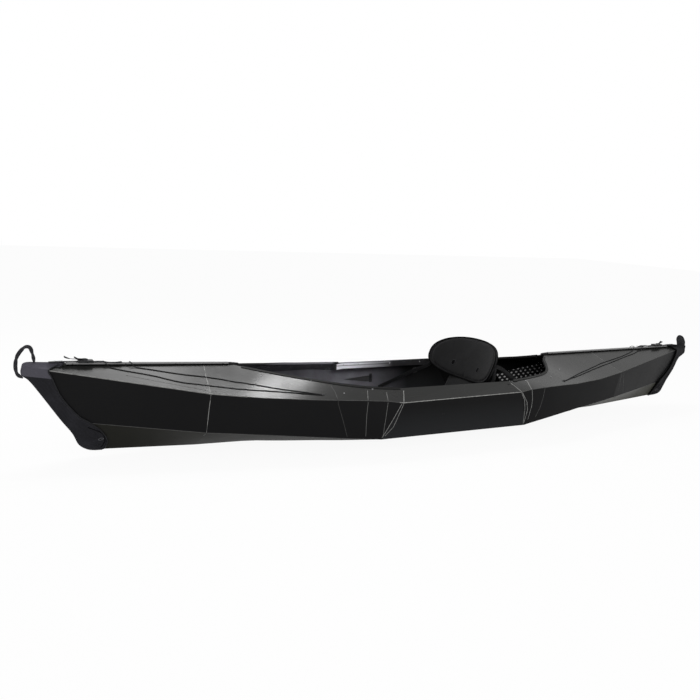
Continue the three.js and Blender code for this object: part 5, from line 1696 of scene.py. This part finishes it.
def build_seat_back():
    halves = BACK["half_width"] + 0.0012, BACK["half_height"] + 0.0012
    piece = cushion("seat_back_cushion", back_place, halves, BACK["power"], 0.0125, 0.0060, 0.002)
    inflate(piece, 0.004, 4.0, 0.005, lambda p: min(1.0, max(0.0, (0.985 - back_share(p)) / 0.12)))
    for vertex in piece.data.vertices:
        p = vertex.co
        share = back_share(p)
        dip = SEAM_DEPTH * math.exp(-(((share - SEAM_SHARE) / SEAM_WIDTH) ** 2))
        dip += 0.0010 * max(0.0, noise.noise(Vector((p.y * 18, p.z * 26, 3.0)))) * (1 - min(share, 1.0))
        if (p - back_place(p.y, back_height(p), 0)).dot(AHEAD) > 0.002:
            vertex.co = p - AHEAD * dip
    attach(piece, "seat_back")
    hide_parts("seat_back")
    sewn = ("seat_cloth", "seat_back")
    for word, depth, radius in (("front", 0.0066, 0.0034), ("rear", -0.0060, 0.0027)):
        line = smoothed(back_outline(0.992, depth), 320, closed=True)
        new_piece(f"seat_back_piping_{word}", tube(line, radius, 8, closed=True, up=ASTERN), "piping", *sewn)
    face = BVHTree.FromPolygons(*parts_of(piece.data))
    seam = smoothed(back_outline(SEAM_SHARE, 0), 260, closed=True)
    found = [f for f in (hit(face, point + AHEAD * OFF_FACE, -AHEAD) for point in seam) if f]
    found.append(found[0])
    line, normals = [f[0] + f[1] * 0.0004 for f in found], [f[1] for f in found]
    places = stitch_places(line, normals, settings().webbing.pitch)
    repeated("seat_back_stitches", "stitches", places, SEAT_STITCH, "thread", *sewn)
    slot_shade_plates, rims = [], []
    for side in (-1, 1):
        place, normal = hit(face, back_place(side * 0.105, -0.040, 0) + AHEAD * OFF_FACE, -AHEAD)
        along, wide = axes_on(normal, Vector((0, -0.30, 1)).normalized())
        slot_shade_plates.append(rounded_plate(place, along, wide, normal, 0.0135, 0.0100, 0.0012))
        rims.append(oval_rim(place, along, wide, normal, (0.0142, 0.0108), 0.0008, 0.0009, 24))
    # Each slot is a black plate laid on the cloth: painted shade where the opening is.
    new_piece("seat_back_slot_shade_plates", join_meshes(slot_shade_plates), "piping", *sewn)
    new_piece("seat_back_slot_rims", join_meshes(rims), "thread", *sewn)
    build_back_flap(sewn)


FLAP_FOOT = Vector((0.150, 0, 0.0419))
FLAP_HALF, FLAP_WAIST, FLAP_THICK = 0.119, 0.006, 0.0026
HEM_HALF, HEM_RADIUS = 0.1195, 0.0048


def build_back_flap(sewn, rows=30, columns=24):
    """The flap from the seat pad's hinge up to the back, with its hem at the foot."""
    top = back_place(0, -0.078, -0.001)
    along = (top - FLAP_FOOT).normalized()
    thick = Vector((-along.z, 0, along.x))
    rings = []
    for i in range(rows + 1):
        t = i / rows
        bow = math.sin(math.pi * t)
        centre = FLAP_FOOT.lerp(top, t) + thick * 0.004 * bow
        half = FLAP_HALF - FLAP_WAIST * bow
        ring = []
        for face in (1, -1):
            for j in range(columns + 1)[::face]:
                y = -half + 2 * half * j / columns
                ripple = 0.0012 * noise.noise(Vector((y * 20, t * 4, 1.0))) * bow
                ring.append(centre + Vector((0, y, 0)) + thick * (FLAP_THICK * face + ripple))
        rings.append(ring)
    new_piece("seat_back_flap", ring_mesh(rings), "seat", *sewn)
    line = [Vector((FLAP_FOOT.x, y, FLAP_FOOT.z)) for y in np.linspace(-HEM_HALF, HEM_HALF, 24)]
    hem = tube(line, HEM_RADIUS, 14)
    new_piece("seat_back_hem", hem, "seat", *sewn)


# The starboard seat strap's line from its anchor on the wall to its end behind the back.
HOLD = [
    (-0.06, 0.33, 0.128), (0.09, 0.287, 0.204), (0.222, 0.264, 0.262), (0.236, 0.2732, 0.338),
    (0.372, 0.262, 0.258),
]
SLIDER_STEP = 34


def build_seat_straps():
    for word, side in SIDES.items():
        points = smoothed([(x, side * y, z) for x, y, z in HOLD], 90)
        ways = tangents(points)
        across = [along.cross(Vector((0, side, 0))).normalized() for along in ways]
        mesh = ribbon(points, across, 0.0185, 0.0018, -0.0009)
        wrap = (strip_uv, 8, runs(points))
        strap = new_piece(f"seat_strap_webbing_{word}", mesh, "belt", "webbing", wrap=wrap)
        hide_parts(f"seat_strap_{word}")
        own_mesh(strap)
        point, along, wide = points[SLIDER_STEP], ways[SLIDER_STEP], across[SLIDER_STEP]
        out = wide.cross(along).normalized()
        centre = point + out * 0.0012
        parts = []
        for shift in (-0.009, 0.0, 0.009):
            line = [centre + along * shift + wide * w for w in np.linspace(-0.012, 0.012, 7)]
            parts.append(tube(line, 0.0019, 8, up=out))
        for w in (-0.012, 0.012):
            line = [centre + along * s + wide * w for s in np.linspace(-0.0095, 0.0095, 5)]
            parts.append(tube(line, 0.0020, 8, up=out))
        slider = new_piece(f"seat_strap_slider_{word}", join_meshes(parts), "moulding", "buckle_plastic")
        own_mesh(slider)


# Stage


def add_area(name, place, target, size, watts, spread=180.0):
    data = bpy.data.lights.new(name, "AREA")
    data.shape = "RECTANGLE"
    data.size, data.size_y = size
    data.energy = watts
    data.spread = math.radians(spread)
    light = link_object(name, data)
    light.location = place
    light.rotation_mode = "QUATERNION"
    light.rotation_quaternion = (Vector(target) - Vector(place)).to_track_quat("-Z", "Y")


# The camera's place, its turns in degrees, and its focal length and frame in pixels.
CAMERA = {
    "place": (-2.14639, -3.27454, 1.03065),
    "yaw": 27.8651,
    "pitch": -9.7131,
    "roll": 2.854,
    "focal": 804.42,
    "frame": 700,
}
SENSOR_MM = 36.0


def build_camera():
    yaw, pitch, roll = (math.radians(CAMERA[k]) for k in ("yaw", "pitch", "roll"))
    forward = Vector((math.sin(yaw) * math.cos(pitch), math.cos(yaw) * math.cos(pitch), math.sin(pitch)))
    right = Vector((math.cos(yaw), -math.sin(yaw), 0))
    up = right.cross(forward)
    right, up = right * math.cos(roll) + up * math.sin(roll), up * math.cos(roll) - right * math.sin(roll)
    data = bpy.data.cameras.new("camera")
    data.sensor_width = SENSOR_MM
    data.lens = CAMERA["focal"] / CAMERA["frame"] * SENSOR_MM
    data.clip_end = 100
    camera = link_object("camera", data)
    turn = Matrix((right, up, -forward)).transposed().to_4x4()
    camera.matrix_world = Matrix.Translation(CAMERA["place"]) @ turn
    bpy.context.scene.camera = camera


def build_world(strength):
    """Even light, with plain white where the camera, a mirror or glass looks past the floor."""
    n = Nodes("studio", "worlds")
    n.tree.nodes.clear()
    soft, white = (n.add("Background", {0: (1, 1, 1, 1), 1: level}).outputs[0] for level in (strength, 1.0))
    mixed = n.add("MixShader", {0: n.seen(), 1: soft, 2: white})
    n.add("OutputWorld", {0: mixed.outputs[0]})
    bpy.context.scene.world = n.owner


def build_floor(tone, half=15.0, under=0.0005, glow_share=0.93):
    """A wide pale floor that keeps the boat's shadow and is nearly white to the camera."""
    n = Nodes("floor_pale")
    material = n.finish(tuple(tone), 0.9, level=0.1)
    glow = n.add("Emission", {"Color": (1, 1, 1), "Strength": 1.0})
    lit = {0: n.times(n.seen(), glow_share), 1: n.shader.outputs[0], 2: glow.outputs[0]}
    n.tree.links.new(n.add("MixShader", lit).outputs[0], n.tree.nodes["Material Output"].inputs[0])
    corners = [(x * half, y * half, -under) for x, y in ((-1, -1), (1, -1), (1, 1), (-1, 1))]
    floor = new_piece("floor", (corners, [(0, 1, 2, 3)]), material, body=None, smooth=False, closed=False)


def build_stage():
    look = settings().stage
    build_camera()
    build_world(look.world)
    build_floor(look.floor)
    add_area("softbox_rim", (-1.2, -1.9, 1.5), (-0.21, 0.34, 0.26), (0.3, 0.3), look.rim, 14.0)
    add_area("softbox_above", (-0.84, 1.66, 3.05), (-1.25, -0.12, 0.3), (1.3, 1.3), look.key)
    add_area("softbox_glint", (0.02, 1.07, 2.95), (-0.82, -0.19, 0.29), (0.30, 0.30), look.glint)
    add_area("softbox_front", (-1.5, -4.5, 2.6), (0, 0, 0.2), (3.0, 1.6), look.fill)
    bpy.context.scene.view_settings.view_transform = "Standard"


# Operators


class KAYAK_OT_stage(bpy.types.Operator):
    """Set up the camera, the lights and the floor"""

    bl_idname = "kayak.stage"
    bl_label = "Stage"

    def execute(self, context):
        build_stage()
        return {"FINISHED"}


class KAYAK_OT_hull(bpy.types.Operator):
    """Dress the panels and fittings that stay as the frame has them, and draw the folds and creases"""

    bl_idname = "kayak.hull"
    bl_label = "Hull"

    def execute(self, context):
        dress_hull()
        build_folds()
        return {"FINISHED"}


class KAYAK_OT_caps(bpy.types.Operator):
    """Sew the cloth covers on the two ends"""

    bl_idname = "kayak.caps"
    bl_label = "Caps"

    def execute(self, context):
        build_cap("bow")
        build_cap("stern")
        return {"FINISHED"}


class KAYAK_OT_handles(bpy.types.Operator):
    """Fold and stitch the two grab handles"""

    bl_idname = "kayak.handles"
    bl_label = "Handles"

    def execute(self, context):
        build_handle("bow")
        build_handle("stern")
        return {"FINISHED"}


class KAYAK_OT_straps(bpy.types.Operator):
    """Lay the webbing of the two end straps and finish their buckles"""

    bl_idname = "kayak.straps"
    bl_label = "Straps"

    def execute(self, context):
        for build in (build_straps, build_buckle_details):
            build("bow")
            build("stern")
        return {"FINISHED"}


class KAYAK_OT_cords(bpy.types.Operator):
    """Run the elastic cords over the two decks"""

    bl_idname = "kayak.cords"
    bl_label = "Cords"

    def execute(self, context):
        build_cord("front")
        build_cord("rear")
        return {"FINISHED"}


class KAYAK_OT_rim(bpy.types.Operator):
    """Finish the rim bars and ridge channels, set the rivets and hang the tabs inside the walls"""

    bl_idname = "kayak.rim"
    bl_label = "Rim"

    def execute(self, context):
        build_rim()
        build_channel_plugs()
        build_wall_tabs()
        return {"FINISHED"}


class KAYAK_OT_seat_pad(bpy.types.Operator):
    """Swell, quilt and pipe the seat pad"""

    bl_idname = "kayak.seat_pad"
    bl_label = "Seat pad"

    def execute(self, context):
        build_seat_pad()
        return {"FINISHED"}


class KAYAK_OT_seat_back(bpy.types.Operator):
    """Swell and sew the seat back with its flap"""

    bl_idname = "kayak.seat_back"
    bl_label = "Seat back"

    def execute(self, context):
        build_seat_back()
        return {"FINISHED"}


class KAYAK_OT_seat_straps(bpy.types.Operator):
    """Hang the two straps that hold the seat back"""

    bl_idname = "kayak.seat_straps"
    bl_label = "Seat straps"

    def execute(self, context):
        build_seat_straps()
        return {"FINISHED"}


OPERATORS = (
    KAYAK_OT_stage,
    KAYAK_OT_hull,
    KAYAK_OT_caps,
    KAYAK_OT_handles,
    KAYAK_OT_straps,
    KAYAK_OT_cords,
    KAYAK_OT_rim,
    KAYAK_OT_seat_pad,
    KAYAK_OT_seat_back,
    KAYAK_OT_seat_straps,
)


class KAYAK_PT_panel(bpy.types.Panel):
    bl_idname = "KAYAK_PT_panel"
    bl_label = "Folding kayak"
    bl_space_type = "VIEW_3D"
    bl_region_type = "UI"
    bl_category = "Kayak"

    def draw(self, context):
        for operator in OPERATORS:
            self.layout.operator(operator.bl_idname)
        for name, group in SETTING_GROUPS.items():
            box = self.layout.box()
            for key in group.__annotations__:
                box.prop(getattr(context.scene.kayak, name), key)


CLASSES = (*SETTING_GROUPS.values(), KayakSettings, *OPERATORS, KAYAK_PT_panel)


def register():
    for item in CLASSES:
        bpy.utils.register_class(item)
    bpy.types.Scene.kayak = PointerProperty(type=KayakSettings)


def unregister():
    del bpy.types.Scene.kayak
    for item in reversed(CLASSES):
        bpy.utils.unregister_class(item)


def main():
    register()
    for operator in OPERATORS:
        family, name = operator.bl_idname.split(".")
        getattr(getattr(bpy.ops, family), name)()


if __name__ == "__main__":
    main()
